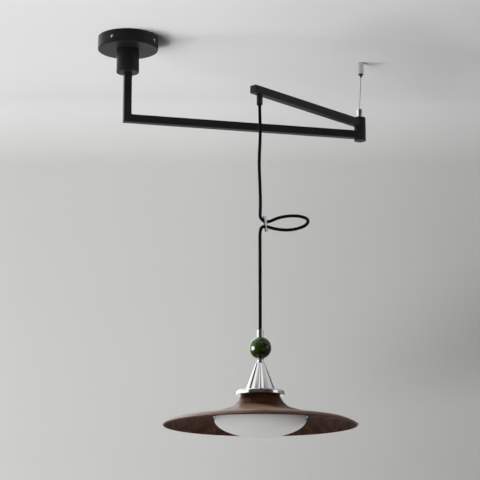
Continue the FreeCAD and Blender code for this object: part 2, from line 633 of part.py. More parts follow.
bind(adjuster, "Placement.Base.z", -D["adjust_drop"])

# turned parts above the shade, threaded on the lamp rod
rod_r = D["rod_dia"] / 2
fit_r = rod_r + D["rod_clear"]
flat_r = D["ball_flat_dia"] / 2
ball_half = root2(D["ball_dia"] * D["ball_dia"] / 4 - flat_r * flat_r)
z_bt = z_ferr - D["ferrule_high"]
z_bb = z_bt - ball_half * 2
fer_r, fer_edge = D["ferrule_dia"] / 2, D["ferrule_edge"]
ferrule = spin("cord_ferrule", [
    (cord_r, z_ferr), (fer_r - fer_edge, z_ferr), (fer_r, z_ferr - fer_edge), (fer_r, z_bt),
    (rod_r, z_bt), (rod_r, z_entry), (cord_r, z_entry)])
ball = spin("glass_ball", [
    (fit_r, z_bb), (flat_r, z_bb, D["ball_dia"] / 2, 1), (flat_r, z_bt), (fit_r, z_bt)])
nk, nw = D["neck_dia"] / 2, D["neck_waist"] / 2
slope, foot = D["neck_slope"], D["neck_foot"]
z_cone = z_bb - D["neck_high"]
z_bead = z_bb - slope - D["neck_bead"]
neck = spin("ball_neck", [
    (fit_r, z_bb), (nw, z_bb), (nk, z_bb - slope), (nk, z_bead), (nw, z_bead - slope),
    (nw, z_cone + foot * 2),
    (nk, z_cone + foot), (nk, z_cone), (fit_r, z_cone)])
ct_r, cb_r = D["cone_top_dia"] / 2, D["cone_base_dia"] / 2
z_fl = z_cone - D["cone_high"]
z_cap = z_cone - D["cone_cap"]
cap_r = ct_r + (cb_r - ct_r) * D["cone_cap"] / D["cone_high"] - D["cone_lip"]
cone = spin("shade_cone", [
    (fit_r, z_cone), (ct_r, z_cone), (cb_r, z_fl), (cb_r - D["cone_lip"], z_fl), (cap_r, z_cap),
    (fit_r, z_cap)])
fh, fw = D["flange_thick"] / 2, D["flange_wall"]
fc = D["flange_dia"] / 2 - fh
fi = fh - fw
z_fb = z_fl - D["flange_thick"]
z_fm = z_fl - fh
flange = spin("shade_flange", [
    (fit_r, z_fl), (fc, z_fl, fh, -1), (fc + fh, z_fm, fh, -1), (fc, z_fb), (D["flange_lip_dia"] / 2, z_fb),
    (D["flange_lip_dia"] / 2, z_fb + fw), (fc, z_fb + fw, fi, 1), (fc + fi, z_fm, fi, 1), (fc, z_fl - fw),
    (fit_r, z_fl - fw)])

# wooden shade: a concave neck, a flat slope and a brim that thins to its rim, hollowed below
zr = z_fb - D["shade_high"]
sr = D["shade_dia"] / 2
re = D["rim_edge"]
z_rec = zr + D["recess_up"]
z_under = zr + D["shade_under_up"]
z_core = z_fb - D["core_top"]
shade = spin("wood_shade", [
    (fit_r, z_fb), (D["shade_neck_dia"] / 2, z_fb, D["shade_neck_curve"], 1),
    (D["shade_hip_dia"] / 2, zr + D["shade_hip_up"], D["shade_slope_curve"], 1),
    (D["shade_brim_dia"] / 2, zr + D["shade_brim_up"], D["shade_brim_curve"], -1),
    (sr, zr + re), (sr - re, zr), (sr - re - D["rim_flat"], zr, D["shade_under_curve"], 1),
    (D["shade_under_dia"] / 2, z_under), (D["recess_dia"] / 2, z_under),
    (D["recess_dia"] / 2, z_rec), (D["core_dia"] / 2, z_rec), (D["core_dia"] / 2, z_core), (fit_r, z_core)])
z_lp = z_rec - D["lamp_plate_thick"]


def three_holes(b, name, z, depth):
    # pilot holes for the three plate screws, opposite the clips
    s = new_sketch(b, name, "XY_Plane", z)
    circle(s, D["plate_screw_dia"] / 2, -D["plate_screw_ring"] / 2, 0)
    c = cut(b, s, name + "_cut", depth, reverse=True)
    ring_of(b, [c], name + "_ring", 3)


three_holes(shade, "pilot_holes", z_rec, D["plate_screw_long"] - D["lamp_plate_thick"] + D["pilot_spare"])

# lamp plate in the recess, drawn up by the nut on the rod
lamp_plate = spin("lamp_plate", [
    (fit_r, z_lp), (D["lamp_plate_dia"] / 2, z_lp), (D["lamp_plate_dia"] / 2, z_rec), (fit_r, z_rec)])
three_holes(lamp_plate, "plate_holes", z_lp, D["lamp_plate_thick"])
z_rw = z_lp - D["rod_washer_high"]
z_rn = z_rw - D["rod_nut_high"]
z_rod = z_rn - D["rod_tail"]
rod = spin("lamp_rod", [
    (D["rod_bore"] / 2, z_entry), (D["rod_bore"] / 2, z_rod), (rod_r, z_rod), (rod_r, z_entry)])
rod_washer = spin("rod_washer", [
    (fit_r, z_rw), (D["rod_washer_dia"] / 2, z_rw), (D["rod_washer_dia"] / 2, z_lp), (fit_r, z_lp)])
rod_nut = new_body("rod_nut")
sk = new_sketch(rod_nut, "rod_nut_flats", "XY_Plane")
hexagon(sk, D["rod_nut_flats"])
circle(sk, rod_r)
pad(rod_nut, sk, "rod_nut_pad", D["rod_nut_high"])
place(rod_nut, PX, PY, z_rn)
z_bd = z_lp - D["board_thick"]
board = spin("led_board", [
    (D["board_hole"] / 2, z_bd), (D["board_dia"] / 2, z_bd), (D["board_dia"] / 2, z_lp),
    (D["board_hole"] / 2, z_lp)])

chips = new_body("led_chips")
half = D["chip_size"] / 2
for tag, across in (("outer", D["chip_ring"]), ("inner", D["chip_inner"])):
    sk = new_sketch(chips, "chip_" + tag, "XY_Plane", z_bd)
    rect(sk, across / 2 - half, across / 2 + half, -half, half)
    p = pad(chips, sk, "chip_%s_pad" % tag, D["chip_high"], reverse=True)
    ring_of(chips, [p], "chip_%s_ring" % tag, round(math.pi * across.v / D["chip_pitch"].v))

screws = new_body("plate_screws")
feats = []
for tag, rad, length, back in (("head", D["plate_screw_head"] / 2, D["plate_screw_head_high"], True),
                               ("shank", D["plate_screw_dia"] / 2, D["plate_screw_long"], False)):
    sk = new_sketch(screws, "plate_screw_" + tag, "XY_Plane", z_lp)
    circle(sk, rad, -D["plate_screw_ring"] / 2, 0)
    feats.append(pad(screws, sk, "plate_screw_%s_pad" % tag, length, reverse=back))
ring_of(screws, feats, "plate_screws_ring", 3)

# opal bowl: half an oblate shell under a short collar
z_eq = zr + D["bowl_eq_up"]
bowl_r, bt = D["bowl_dia"] / 2, D["bowl_thick"]


def oval(name, low, wide):
    e = doc.addObject("Part::Ellipsoid", name)
    for prop, val in (("Radius1", low), ("Radius2", wide), ("Radius3", wide)):
        setattr(e, prop, val.v)
        bind(e, prop, val)
    e.Angle1, e.Angle2, e.Angle3 = -90, 0, 360
    place(e, PX, PY, z_eq)
    return e


def drum(name, rad, high):
    e = doc.addObject("Part::Cylinder", name)
    e.Radius, e.Height = rad.v, high.v
    bind(e, "Radius", rad)
    bind(e, "Height", high)
    place(e, PX, PY, z_eq)
    return e


shell = doc.addObject("Part::Cut", "bowl_shell")
shell.Base = oval("bowl_outer", D["bowl_deep"], bowl_r)
shell.Tool = oval("bowl_inner", D["bowl_deep"] - bt, bowl_r - bt)
collar = doc.addObject("Part::Cut", "bowl_collar")
collar.Base = drum("collar_outer", bowl_r - D["bowl_step"], z_lp - z_eq)
collar.Tool = drum("collar_inner", D["bowl_mouth_dia"] / 2, z_lp - z_eq)
bowl = doc.addObject("Part::Fuse", "glass_bowl")
bowl.Base, bowl.Tool = shell, collar
bowl.Label = "glass_bowl"
NODES.append(bowl)

# spring clips that hook under the bowl's collar
clips = new_body("bowl_clips")
sk = new_sketch(clips, "clip_side", "XZ_Plane")
ci, co, tk, leg = D["clip_in"], D["clip_out"], D["clip_thick"], D["clip_leg"]
outline(sk, [(ci, z_lp), (ci, z_eq - tk), (co, z_eq - tk), (co, z_eq), (ci + leg, z_eq), (ci + leg, z_lp)])
p = pad(clips, sk, "clip_pad", D["clip_wide"], both=True)
ring_of(clips, [p], "clips_ring", 3)

for b in (ferrule, ball, neck, cone, flange, shade, lamp_plate, rod, rod_washer, board, chips, screws, clips):
    place(b, PX, PY, 0)

doc.recompute()
os.makedirs("parts", exist_ok=True)
for obj in doc.Objects:
    if "Invalid" in obj.State or "Error" in obj.State:
        raise RuntimeError("object not good: " + obj.Label)
for node in NODES:
    if node.Shape.isNull() or not node.Shape.isValid() or node.Shape.Volume <= 0:
        raise RuntimeError("shape not good: " + node.Label)
    node.Shape.exportStep(os.path.join("parts", node.Label + ".step"))
print("nodes", len(NODES))
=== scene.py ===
import json
import math

import bmesh
import bpy
from mathutils import Matrix, Vector


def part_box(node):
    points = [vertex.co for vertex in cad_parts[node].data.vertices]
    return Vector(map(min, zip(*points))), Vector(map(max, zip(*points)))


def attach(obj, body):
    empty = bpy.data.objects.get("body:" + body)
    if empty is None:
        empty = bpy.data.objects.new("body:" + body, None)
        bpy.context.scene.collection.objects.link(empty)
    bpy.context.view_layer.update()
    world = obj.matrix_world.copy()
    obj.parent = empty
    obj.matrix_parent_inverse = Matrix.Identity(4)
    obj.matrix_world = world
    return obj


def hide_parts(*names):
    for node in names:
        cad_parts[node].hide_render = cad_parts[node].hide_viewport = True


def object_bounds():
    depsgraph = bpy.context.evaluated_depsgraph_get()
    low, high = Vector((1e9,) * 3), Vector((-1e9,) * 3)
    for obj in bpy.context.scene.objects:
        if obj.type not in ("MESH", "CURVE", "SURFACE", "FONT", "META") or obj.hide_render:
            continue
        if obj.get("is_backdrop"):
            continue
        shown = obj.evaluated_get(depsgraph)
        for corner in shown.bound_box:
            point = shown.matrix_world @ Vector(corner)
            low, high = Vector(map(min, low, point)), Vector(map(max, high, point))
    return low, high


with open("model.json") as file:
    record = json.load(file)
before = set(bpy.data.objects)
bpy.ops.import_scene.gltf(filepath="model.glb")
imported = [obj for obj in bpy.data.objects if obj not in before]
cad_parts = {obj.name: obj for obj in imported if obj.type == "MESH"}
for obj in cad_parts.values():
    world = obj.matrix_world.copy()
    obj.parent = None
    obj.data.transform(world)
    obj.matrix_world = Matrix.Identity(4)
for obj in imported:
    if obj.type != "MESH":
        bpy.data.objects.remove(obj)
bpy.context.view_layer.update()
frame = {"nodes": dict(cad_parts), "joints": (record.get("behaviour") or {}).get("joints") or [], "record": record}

MM = 0.001
scene = bpy.context.scene
scene.view_settings.view_transform = "Standard"

# viewing angle of the photograph
VIEW_TURN = math.radians(14.481)
VIEW_PITCH = math.radians(12.429)
CAMERA_PLACE = Vector((-0.675028, -3.551866, -1.228794))
FOCAL_PIXELS = 1806.366
FRAME_PIXELS = 480
SENSOR = 36.0
AHEAD = Vector((math.sin(VIEW_TURN), math.cos(VIEW_TURN), 0))
RIGHT = Vector((math.cos(VIEW_TURN), -math.sin(VIEW_TURN), 0))
UP = Vector((0, 0, 1))

camera = bpy.data.objects.new("camera", bpy.data.cameras.new("camera"))
camera.data.sensor_width = SENSOR
camera.data.lens = SENSOR * FOCAL_PIXELS / FRAME_PIXELS
camera.location = CAMERA_PLACE
camera.rotation_euler = (math.pi / 2 + VIEW_PITCH, 0, -VIEW_TURN)
scene.collection.objects.link(camera)
scene.camera = camera

# axes that the frame gives
JOINT_AT = {j["name"]: Vector(j["pos_m"]) for j in frame["joints"]}
ELBOW = JOINT_AT["elbow_swing"]
PIVOT = JOINT_AT["pendant_swing"]
ARM_WAY = Vector((PIVOT.x - ELBOW.x, PIVOT.y - ELBOW.y, 0)).normalized()
ARM_SIDE = UP.cross(ARM_WAY)


# shader helpers

def new_material(name):
    mat = bpy.data.materials.new(name)
    mat.use_nodes = True
    tree = mat.node_tree
    return mat, tree, tree.nodes["Principled BSDF"]


def add_node(tree, kind, inputs=None, **settings):
    node = tree.nodes.new("ShaderNode" + kind)
    for key, value in settings.items():
        setattr(node, key, value)
    for key, value in (inputs or {}).items():
        if isinstance(value, bpy.types.NodeSocket):
            tree.links.new(value, node.inputs[key])
        else:
            node.inputs[key].default_value = value
    return node


def set_inputs(node, **values):
    for key, value in values.items():
        node.inputs[key.replace("_", " ")].default_value = value


def ramp(tree, source, stops):
    node = add_node(tree, "ValToRGB", {"Fac": source})
    steps = node.color_ramp.elements
    while len(steps) < len(stops):
        steps.new(0.5)
    for step, (at, colour) in zip(steps, stops):
        step.position = at
        step.color = (*colour, 1)
    return node.outputs["Color"]


def grey(level):
    return (level, level, level)


def spread(tree, source, low, high):
    node = add_node(tree, "MapRange", {"Value": source, "To Min": low, "To Max": high})
    return node.outputs["Result"]


def share_of(tree, source, low, high, top=1.0):
    # the source from low to high as a share from zero to the top
    node = add_node(tree, "MapRange", {"Value": source, "From Min": low, "From Max": high, "To Max": top})
    return node.outputs["Result"]


def calc(tree, operation, *values):
    return add_node(tree, "Math", dict(enumerate(values)), operation=operation).outputs[0]


def dot(tree, a, b):
    return add_node(tree, "VectorMath", {0: a, 1: b}, operation="DOT_PRODUCT").outputs["Value"]


def mix(tree, share, a, b, blend="MIX"):
    node = add_node(tree, "Mix", {0: share, 6: a, 7: b}, data_type="RGBA", blend_type=blend)
    return node.outputs[2]


def mapped(tree, scale=(1, 1, 1), turn=(0, 0, 0), shift=(0, 0, 0)):
    place = add_node(tree, "TexCoord").outputs["Object"]
    return add_node(tree, "Mapping", {
        "Vector": place, "Scale": scale, "Rotation": turn, "Location": shift}).outputs["Vector"]


def noise(tree, vector, scale, detail=3.0, rough=0.5, distort=0.0):
    return add_node(tree, "TexNoise", {
        "Vector": vector, "Scale": scale, "Detail": detail, "Roughness": rough,
        "Distortion": distort}).outputs["Fac"]


def bump(tree, bsdf, height, strength, distance, base=None):
    inputs = {"Height": height, "Strength": strength, "Distance": distance}
    if base is not None:
        inputs["Normal"] = base
    node = add_node(tree, "Bump", inputs)
    tree.links.new(node.outputs["Normal"], bsdf.inputs["Normal"])
    return node.outputs["Normal"]


# finishes

def black_paint():
    mat, tree, bsdf = new_material("black_paint")
    place = mapped(tree)
    cloud = noise(tree, place, 22, 4)
    peel = noise(tree, place, 950, 2, 0.45)
    tree.links.new(ramp(tree, cloud, [(0.3, (0.0245, 0.0245, 0.0246)), (0.7, (0.0350, 0.0348, 0.0340))]),
                   bsdf.inputs["Base Color"])
    tree.links.new(spread(tree, cloud, 0.36, 0.48), bsdf.inputs["Roughness"])
    set_inputs(bsdf, Specular_IOR_Level=0.18)
    bump(tree, bsdf, peel, 0.2, 0.05 * MM)
    return mat


def metal(name, colour, rough, grain, depth, stretch, bare=1.0):
    # brushed along the stretch, with a relief of that depth; bare is how much of it is plain metal
    mat, tree, bsdf = new_material(name)
    lines = noise(tree, mapped(tree, stretch), grain, 3, 0.6)
    cloud = noise(tree, mapped(tree), 30, 3)
    dark = tuple(c * 0.9 for c in colour)
    tree.links.new(ramp(tree, cloud, [(0.3, dark), (0.7, colour)]), bsdf.inputs["Base Color"])
    tree.links.new(spread(tree, cloud, *rough), bsdf.inputs["Roughness"])
    set_inputs(bsdf, Metallic=bare)
    bump(tree, bsdf, lines, 0.3, depth)
    return mat


def plastic(name, low, high, rough):
    mat, tree, bsdf = new_material(name)
    place = mapped(tree)
    cloud = noise(tree, place, 40, 3)
    tree.links.new(ramp(tree, cloud, [(0.3, low), (0.7, high)]), bsdf.inputs["Base Color"])
    tree.links.new(spread(tree, cloud, rough - 0.06, rough + 0.06), bsdf.inputs["Roughness"])
    bump(tree, bsdf, noise(tree, place, 600, 2), 0.15, 0.05 * MM)
    return mat


def black_fabric():
    mat, tree, bsdf = new_material("black_fabric")
    along = add_node(tree, "UVMap", uv_map="strand").outputs["UV"]
    threads = add_node(tree, "TexWave", {
        "Vector": along, "Scale": 5.0, "Distortion": 1.2, "Detail": 2.0}, bands_direction="DIAGONAL")
    fuzz = noise(tree, mapped(tree), 1800, 3)
    tree.links.new(ramp(tree, threads.outputs["Fac"], [(0.0, grey(0.0025)), (1.0, grey(0.0085))]),
                   bsdf.inputs["Base Color"])
    tree.links.new(spread(tree, fuzz, 0.7, 0.95), bsdf.inputs["Roughness"])
    set_inputs(bsdf, Sheen_Weight=0.06, Sheen_Roughness=0.5, Specular_IOR_Level=0.2)
    first = bump(tree, bsdf, threads.outputs["Fac"], 0.3, 0.08 * MM)
    bump(tree, bsdf, fuzz, 0.3, 0.05 * MM, first)
    return mat


LOG_HEART = (0.03, 0, 1.09)
# walnut from dark to pale: steps from the middle tone, and colours
WALNUT_TONES = [
    (-0.20, (0.024, 0.0080, 0.0034)), (-0.05, (0.054, 0.0180, 0.0076)), (0.08, (0.092, 0.0325, 0.0140)),
    (0.24, (0.140, 0.054, 0.024))]


def walnut(name, shine, rough, depth, sheen, contrast, relief):
    # the grain runs away from the camera, with the heart of the log below the blank
    mat, tree, bsdf = new_material(name)
    about_axis = mapped(tree, shift=(-PIVOT.x, -PIVOT.y, 0.0))
    place = add_node(tree, "Mapping", {
        "Vector": about_axis, "Rotation": (0, 0, VIEW_TURN), "Location": LOG_HEART}).outputs["Vector"]
    rings = add_node(tree, "TexWave", {
        "Vector": place, "Scale": 30.0, "Distortion": 2.5, "Detail": 3.0, "Detail Scale": 0.3},
        wave_type="RINGS", rings_direction="Y").outputs["Fac"]
    along = add_node(tree, "Mapping", {"Vector": place, "Scale": (1.0, 0.03, 1.0)}).outputs["Vector"]
    streaks = noise(tree, along, 260, 4, 0.62)
    pores = noise(tree, along, 1500, 2, 0.5)
    cloud = noise(tree, along, 40, 3, 0.5)
    tone = calc(tree, "MULTIPLY", rings, 0.10)
    tone = calc(tree, "MULTIPLY_ADD", streaks, 0.62, tone)
    tone = calc(tree, "MULTIPLY_ADD", cloud, 0.40, tone)
    wood = ramp(tree, tone, [
        (0.55 + at / contrast, tuple(c * depth for c in colour)) for at, colour in WALNUT_TONES])
    open_pores = ramp(tree, pores, [(0.30, grey(0.5)), (0.44, grey(1.0))])
    tree.links.new(mix(tree, 1.0, wood, open_pores, "MULTIPLY"), bsdf.inputs["Base Color"])
    tree.links.new(spread(tree, streaks, rough - 0.04, rough + 0.04), bsdf.inputs["Roughness"])
    set_inputs(bsdf, Specular_IOR_Level=shine, Sheen_Weight=sheen, Sheen_Roughness=0.3,
               Sheen_Tint=(1, 0.68, 0.48, 1))
    first = bump(tree, bsdf, pores, relief, 0.10 * MM)
    bump(tree, bsdf, streaks, relief, 0.12 * MM, first)
    return mat


def green_glass():
    # dark bottle green with clouds and fine flecks, made paler towards the upper left as painted light
    mat, tree, bsdf = new_material("green_glass")
    place = mapped(tree)
    cloud = noise(tree, place, 95, 6, 0.62, 0.6)
    fleck = noise(tree, place, 620, 3, 0.6)
    low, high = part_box("glass_ball")
    # painted light: the tone is raised towards the upper left, the side the lamps light
    side = dot(tree, mapped(tree, shift=(low + high) / -2), UP * 0.55 - RIGHT * 0.8)
    tone = calc(tree, "MULTIPLY_ADD", fleck, 0.34, share_of(tree, side, -8 * MM, 22 * MM, 0.38))
    tone = calc(tree, "MULTIPLY_ADD", cloud, 0.5, tone)
    tree.links.new(ramp(tree, tone, [
        (0.30, (0.006, 0.0100, 0.0003)), (0.46, (0.013, 0.022, 0.0008)), (0.60, (0.060, 0.115, 0.0080)),
        (0.80, (0.125, 0.220, 0.030))]), bsdf.inputs["Base Color"])
    tree.links.new(spread(tree, cloud, 0.02, 0.06), bsdf.inputs["Roughness"])
    set_inputs(bsdf, Coat_Weight=0.2, Coat_Roughness=0.02, IOR=1.5)
    bump(tree, bsdf, fleck, 0.05, 0.08 * MM)
    return mat


def opal_glass():
    mat, tree, bsdf = new_material("opal_glass")
    place = mapped(tree)
    cloud = noise(tree, place, 18, 3)
    tree.links.new(ramp(tree, cloud, [(0.3, (0.84, 0.84, 0.82)), (0.7, (0.87, 0.87, 0.855))]),
                   bsdf.inputs["Base Color"])
    tree.links.new(spread(tree, cloud, 0.26, 0.36), bsdf.inputs["Roughness"])
    set_inputs(bsdf, Subsurface_Weight=0.25, Subsurface_Scale=0.006, Subsurface_Radius=(1, 1, 1))
    bump(tree, bsdf, noise(tree, place, 400, 2), 0.05, 0.03 * MM)
    return mat


# grain drawn out round a turned piece, along a sheet or not at all
ROUND, SHEET, PLAIN = (1, 1, 14), (12, 1, 1), (1, 1, 1)
FINISH = {
    "black_paint": black_paint(),
    "zinc_steel": metal("zinc_steel", (0.55, 0.56, 0.57), (0.3, 0.45), 420, 0.03 * MM, PLAIN),
    "bright_screw": metal("bright_screw", (0.74, 0.74, 0.73), (0.16, 0.26), 300, 0.02 * MM, ROUND),
    "satin_nickel": metal("satin_nickel", (0.86, 0.855, 0.84), (0.46, 0.56), 240, 0.02 * MM, ROUND, bare=0.25),
    "chrome": metal("chrome", (0.94, 0.94, 0.93), (0.05, 0.10), 160, 0.004 * MM, ROUND),
    "wire_rope": metal("wire_rope", (0.42, 0.42, 0.41), (0.28, 0.4), 900, 0.02 * MM, PLAIN),
    "black_fabric": black_fabric(),
    "walnut": walnut("walnut", shine=0.11, rough=0.34, depth=1.12, sheen=0.26, contrast=1.0, relief=0.04),
    "green_glass": green_glass(),
    "opal_glass": opal_glass(),
    "aluminium_plate": metal("aluminium_plate", (0.75, 0.75, 0.76), (0.3, 0.4), 260, 0.02 * MM, SHEET),
    "white_board": plastic("white_board", grey(0.80), grey(0.88), 0.5),
    "led_phosphor": plastic("led_phosphor", (0.80, 0.62, 0.16), (0.90, 0.75, 0.25), 0.3),
    "white_case": plastic("white_case", grey(0.76), grey(0.84), 0.5),
    "bronze": metal("bronze", (0.60, 0.45, 0.25), (0.3, 0.42), 300, 0.02 * MM, ROUND),
    "nylon": plastic("nylon", grey(0.016), grey(0.024), 0.5),
}

# the hollow under the brim is oiled and dull where the outside is lacquered, and its darker tone is painted shade
OILED_WALNUT_PAINTED_SHADE = walnut("walnut_oiled_painted_shade", shine=0.02, rough=0.62, depth=0.70, sheen=0.0, contrast=1.5, relief=0.2)


# mesh helpers

def new_object(name, verts, faces):
    mesh = bpy.data.meshes.new(name)
    mesh.from_pydata([tuple(v) for v in verts], [], faces)
    made = bmesh.new()
    made.from_mesh(mesh)
    bmesh.ops.recalc_face_normals(made, faces=made.faces)
    made.to_mesh(mesh)
    made.free()
    thing = bpy.data.objects.new(name, mesh)
    scene.collection.objects.link(thing)
    return thing


def finish_piece(thing, finish, body, nodes=(), sharp=32):
    mesh = thing.data
    mesh.polygons.foreach_set("use_smooth", [True] * len(mesh.polygons))
    mesh.set_sharp_from_angle(angle=math.radians(sharp))
    mesh.materials.clear()
    mesh.materials.append(FINISH[finish])
    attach(thing, body)
    if nodes:
        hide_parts(*nodes)
    return thing


def rounded(corners, steps=6):
    # closed outline of (r, z) or (r, z, radius), where a radius turns the corner into an arc
    out = []
    for i, corner in enumerate(corners):
        here = Vector(corner[:2])
        if len(corner) == 2:
            out.append(here)
            continue
        before = (Vector(corners[i - 1][:2]) - here).normalized()
        after = (Vector(corners[(i + 1) % len(corners)][:2]) - here).normalized()
        half = before.angle(after) / 2
        centre = here + (before + after).normalized() * (corner[2] / math.sin(half))
        start = here + before * (corner[2] / math.tan(half)) - centre
        end = here + after * (corner[2] / math.tan(half)) - centre
        sweep = start.angle_signed(end)
        for k in range(steps + 1):
            part = Matrix.Rotation(-sweep * k / steps, 2) @ start
            out.append(centre + part)
    return out


def arc(a, b, radius, side, steps):
    # points from a to just before b on a circle whose centre is to the left (side 1) or right (-1)
    a, b = Vector(a), Vector(b)
    way = (b - a).normalized()
    half = (b - a).length / 2
    centre = (a + b) / 2 + Vector((-way.y, way.x)) * side * math.sqrt(radius ** 2 - half ** 2)
    sweep = 2 * math.asin(half / radius) * side
    start = a - centre
    return [centre + Matrix.Rotation(sweep * k / steps, 2) @ start for k in range(steps)]


def lathe_mesh(profile, turns):
    verts, rings = [], []
    for r, z in profile:
        count = 1 if r < 1e-7 else turns
        rings.append(range(len(verts), len(verts) + count))
        for k in range(count):
            angle = 2 * math.pi * k / turns
            verts.append(Vector((r * math.cos(angle), r * math.sin(angle), z)))
    faces = []
    for low, high in zip(rings, rings[1:] + rings[:1]):
        if len(low) == 1 and len(high) == 1:
            continue
        for k in range(turns):
            n = (k + 1) % turns
            corners = [low[k % len(low)], low[n % len(low)], high[n % len(high)], high[k % len(high)]]
            faces.append(list(dict.fromkeys(corners)))
    return verts, faces


def turned(name, corners, at, finish, body, nodes, turns=128, steps=6):
    # turned piece on a vertical axis, its outline in millimetres about that axis
    verts, faces = lathe_mesh([p * MM for p in rounded(corners, steps)], turns)
    verts = [v + Vector((at[0], at[1], 0)) for v in verts]
    return finish_piece(new_object(name, verts, faces), finish, body, nodes)


def skin(rings, closed=False):
    # quads between equal rings of points, with flat ends unless the rings close on themselves
    count = len(rings[0])
    verts = [p for ring in rings for p in ring]
    faces = []
    pairs = len(rings) if closed else len(rings) - 1
    for i in range(pairs):
        low, high = i * count, ((i + 1) % len(rings)) * count
        for k in range(count):
            n = (k + 1) % count
            faces.append((low + k, low + n, high + n, high + k))
    if not closed:
        faces.append(tuple(range(count)))
        faces.append(tuple((len(rings) - 1) * count + k for k in range(count)))
    return verts, faces


def merged(name, parts):
    verts, faces = [], []
    for some_verts, some_faces in parts:
        base = len(verts)
        verts.extend(some_verts)
        faces.extend([tuple(base + i for i in face) for face in some_faces])
    return new_object(name, verts, faces)


def carved(name, solid, tools):
    # the solid with the tools' space taken out of it
    for tool in tools:
        step = solid.modifiers.new("carve", "BOOLEAN")
        step.operation = "DIFFERENCE"
        step.solver = "EXACT"
        step.object = tool
    graph = bpy.context.evaluated_depsgraph_get()
    mesh = bpy.data.meshes.new_from_object(solid.evaluated_get(graph))
    for old in (solid, *tools):
        bpy.data.objects.remove(old)
    thing = bpy.data.objects.new(name, mesh)
    scene.collection.objects.link(thing)
    return thing


def rounded_square(half, radius, steps=5):
    # closed loop of (up, across) about the tube's centre line
    return rounded([
        (half, half, radius), (-half, half, radius), (-half, -half, radius), (half, -half, radius)], steps)


def path_frames(points):
    # each point with a side and a top direction, carried along the line without twist
    frames = []
    side = None
    for i, here in enumerate(points):
        along = (points[min(i + 1, len(points) - 1)] - points[max(i - 1, 0)]).normalized()
        if side is None:
            side = along.orthogonal().normalized()
        side = (side - along * side.dot(along)).normalized()
        frames.append((here, side, along.cross(side)))
    return frames


def tube_rings(points, radius, sides):
    rings = []
    for here, side, top in path_frames(points):
        rings.append([
            here + (side * math.cos(2 * math.pi * k / sides) + top * math.sin(2 * math.pi * k / sides)) * radius
            for k in range(sides)])
    return rings


def nurbs_line(route, resolution):
    # points read from a smooth spline whose control points are the route
    curve = bpy.data.curves.new("route", "CURVE")
    curve.dimensions = "3D"
    spline = curve.splines.new("NURBS")
    spline.points.add(len(route) - 1)
    for point, place in zip(spline.points, route):
        point.co = (*place, 1)
    spline.order_u = 3
    spline.use_endpoint_u = True
    spline.resolution_u = resolution
    holder = bpy.data.objects.new("route", curve)
    scene.collection.objects.link(holder)
    mesh = bpy.data.meshes.new_from_object(holder)
    line = [v.co.copy() for v in mesh.vertices]
    bpy.data.objects.remove(holder)
    bpy.data.meshes.remove(mesh)
    return line


def evenly(points, step):
    # the same line with its points an even step apart
    lengths = [0.0]
    for a, b in zip(points, points[1:]):
        lengths.append(lengths[-1] + (b - a).length)
    count = round(lengths[-1] / step)
    out, i = [], 0
    for k in range(count + 1):
        want = lengths[-1] * k / count
        while i < len(points) - 2 and lengths[i + 1] < want:
            i += 1
        share = (want - lengths[i]) / max(lengths[i + 1] - lengths[i], 1e-9)
        out.append(points[i].lerp(points[i + 1], min(share, 1.0)))
    return out, lengths[-1]


def span(node):
    # centre, radius, bottom and top of an upright turned node, in millimetres but for the centre
    low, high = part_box(node)
    return (low + high) / 2, (high.x - low.x) / 2 / MM, low.z / MM, high.z / MM


# canopy and swivel

CANOPY_WALL = 1.5
CANOPY_EDGE = 2.5
CANOPY_HOLE = 11.0
TOP_EDGE = 0.4


def canopy():
    at, r, low, high = span("canopy_cover")
    w = CANOPY_WALL
    turned("canopy_shell", [
        (CANOPY_HOLE, low), (r, low, CANOPY_EDGE), (r, high, TOP_EDGE), (r - w, high), (r - w, low + w, w),
        (CANOPY_HOLE, low + w)], at, "black_paint", "canopy", ["canopy_cover"], 192, 8)


SCREW_HEAD = 3.8
SCREW_HIGH = 2.2
SCREW_SHANK = 2.0
SCREW_LONG = 7.0
SCREW_TURN = math.radians(48)
# shares of the head's radius and height
SCREW_DOME = [(0, 1), (0.55, 0.93), (0.86, 0.62), (1, 0.2)]
# each of the four was driven home at another angle
SCREW_SPINS = [0.5, 1.4, 2.3, 3.2]
RECESS_LONG = 2.1
RECESS_WIDE = 0.42
RECESS_DEEP = 1.2


def prism(corners, low, high, shrink=1.0):
    # upright prism whose lower end is the outline shrunk
    return skin([[Vector((x * shrink, y * shrink, low)) for x, y in corners],
                 [Vector((x, y, high)) for x, y in corners]])


def cross_outline(long, wide):
    out = []
    for k in range(4):
        turn = Matrix.Rotation(-math.pi / 2 * k, 2)
        out.extend(tuple(turn @ Vector(p)) for p in [(-wide, long), (wide, long), (wide, wide)])
    return out


def pan_screw(name, head, high, shank, long, recess):
    # screw along +Z with the underside of its head at zero
    dome = [(head * out, high * up) for out, up in SCREW_DOME] + [(head, 0, 0.15)]
    profile = rounded([*dome, (shank, 0), (shank, -long, 0.5), (0, -long)], 4)
    verts, faces = lathe_mesh([p * MM for p in profile], 48)
    solid = new_object(name, verts, faces)
    cutter = prism([(x * MM, y * MM) for x, y in recess], (high - RECESS_DEEP) * MM, (high + 1) * MM, 0.8)
    return carved(name, solid, [new_object("recess", *cutter)])


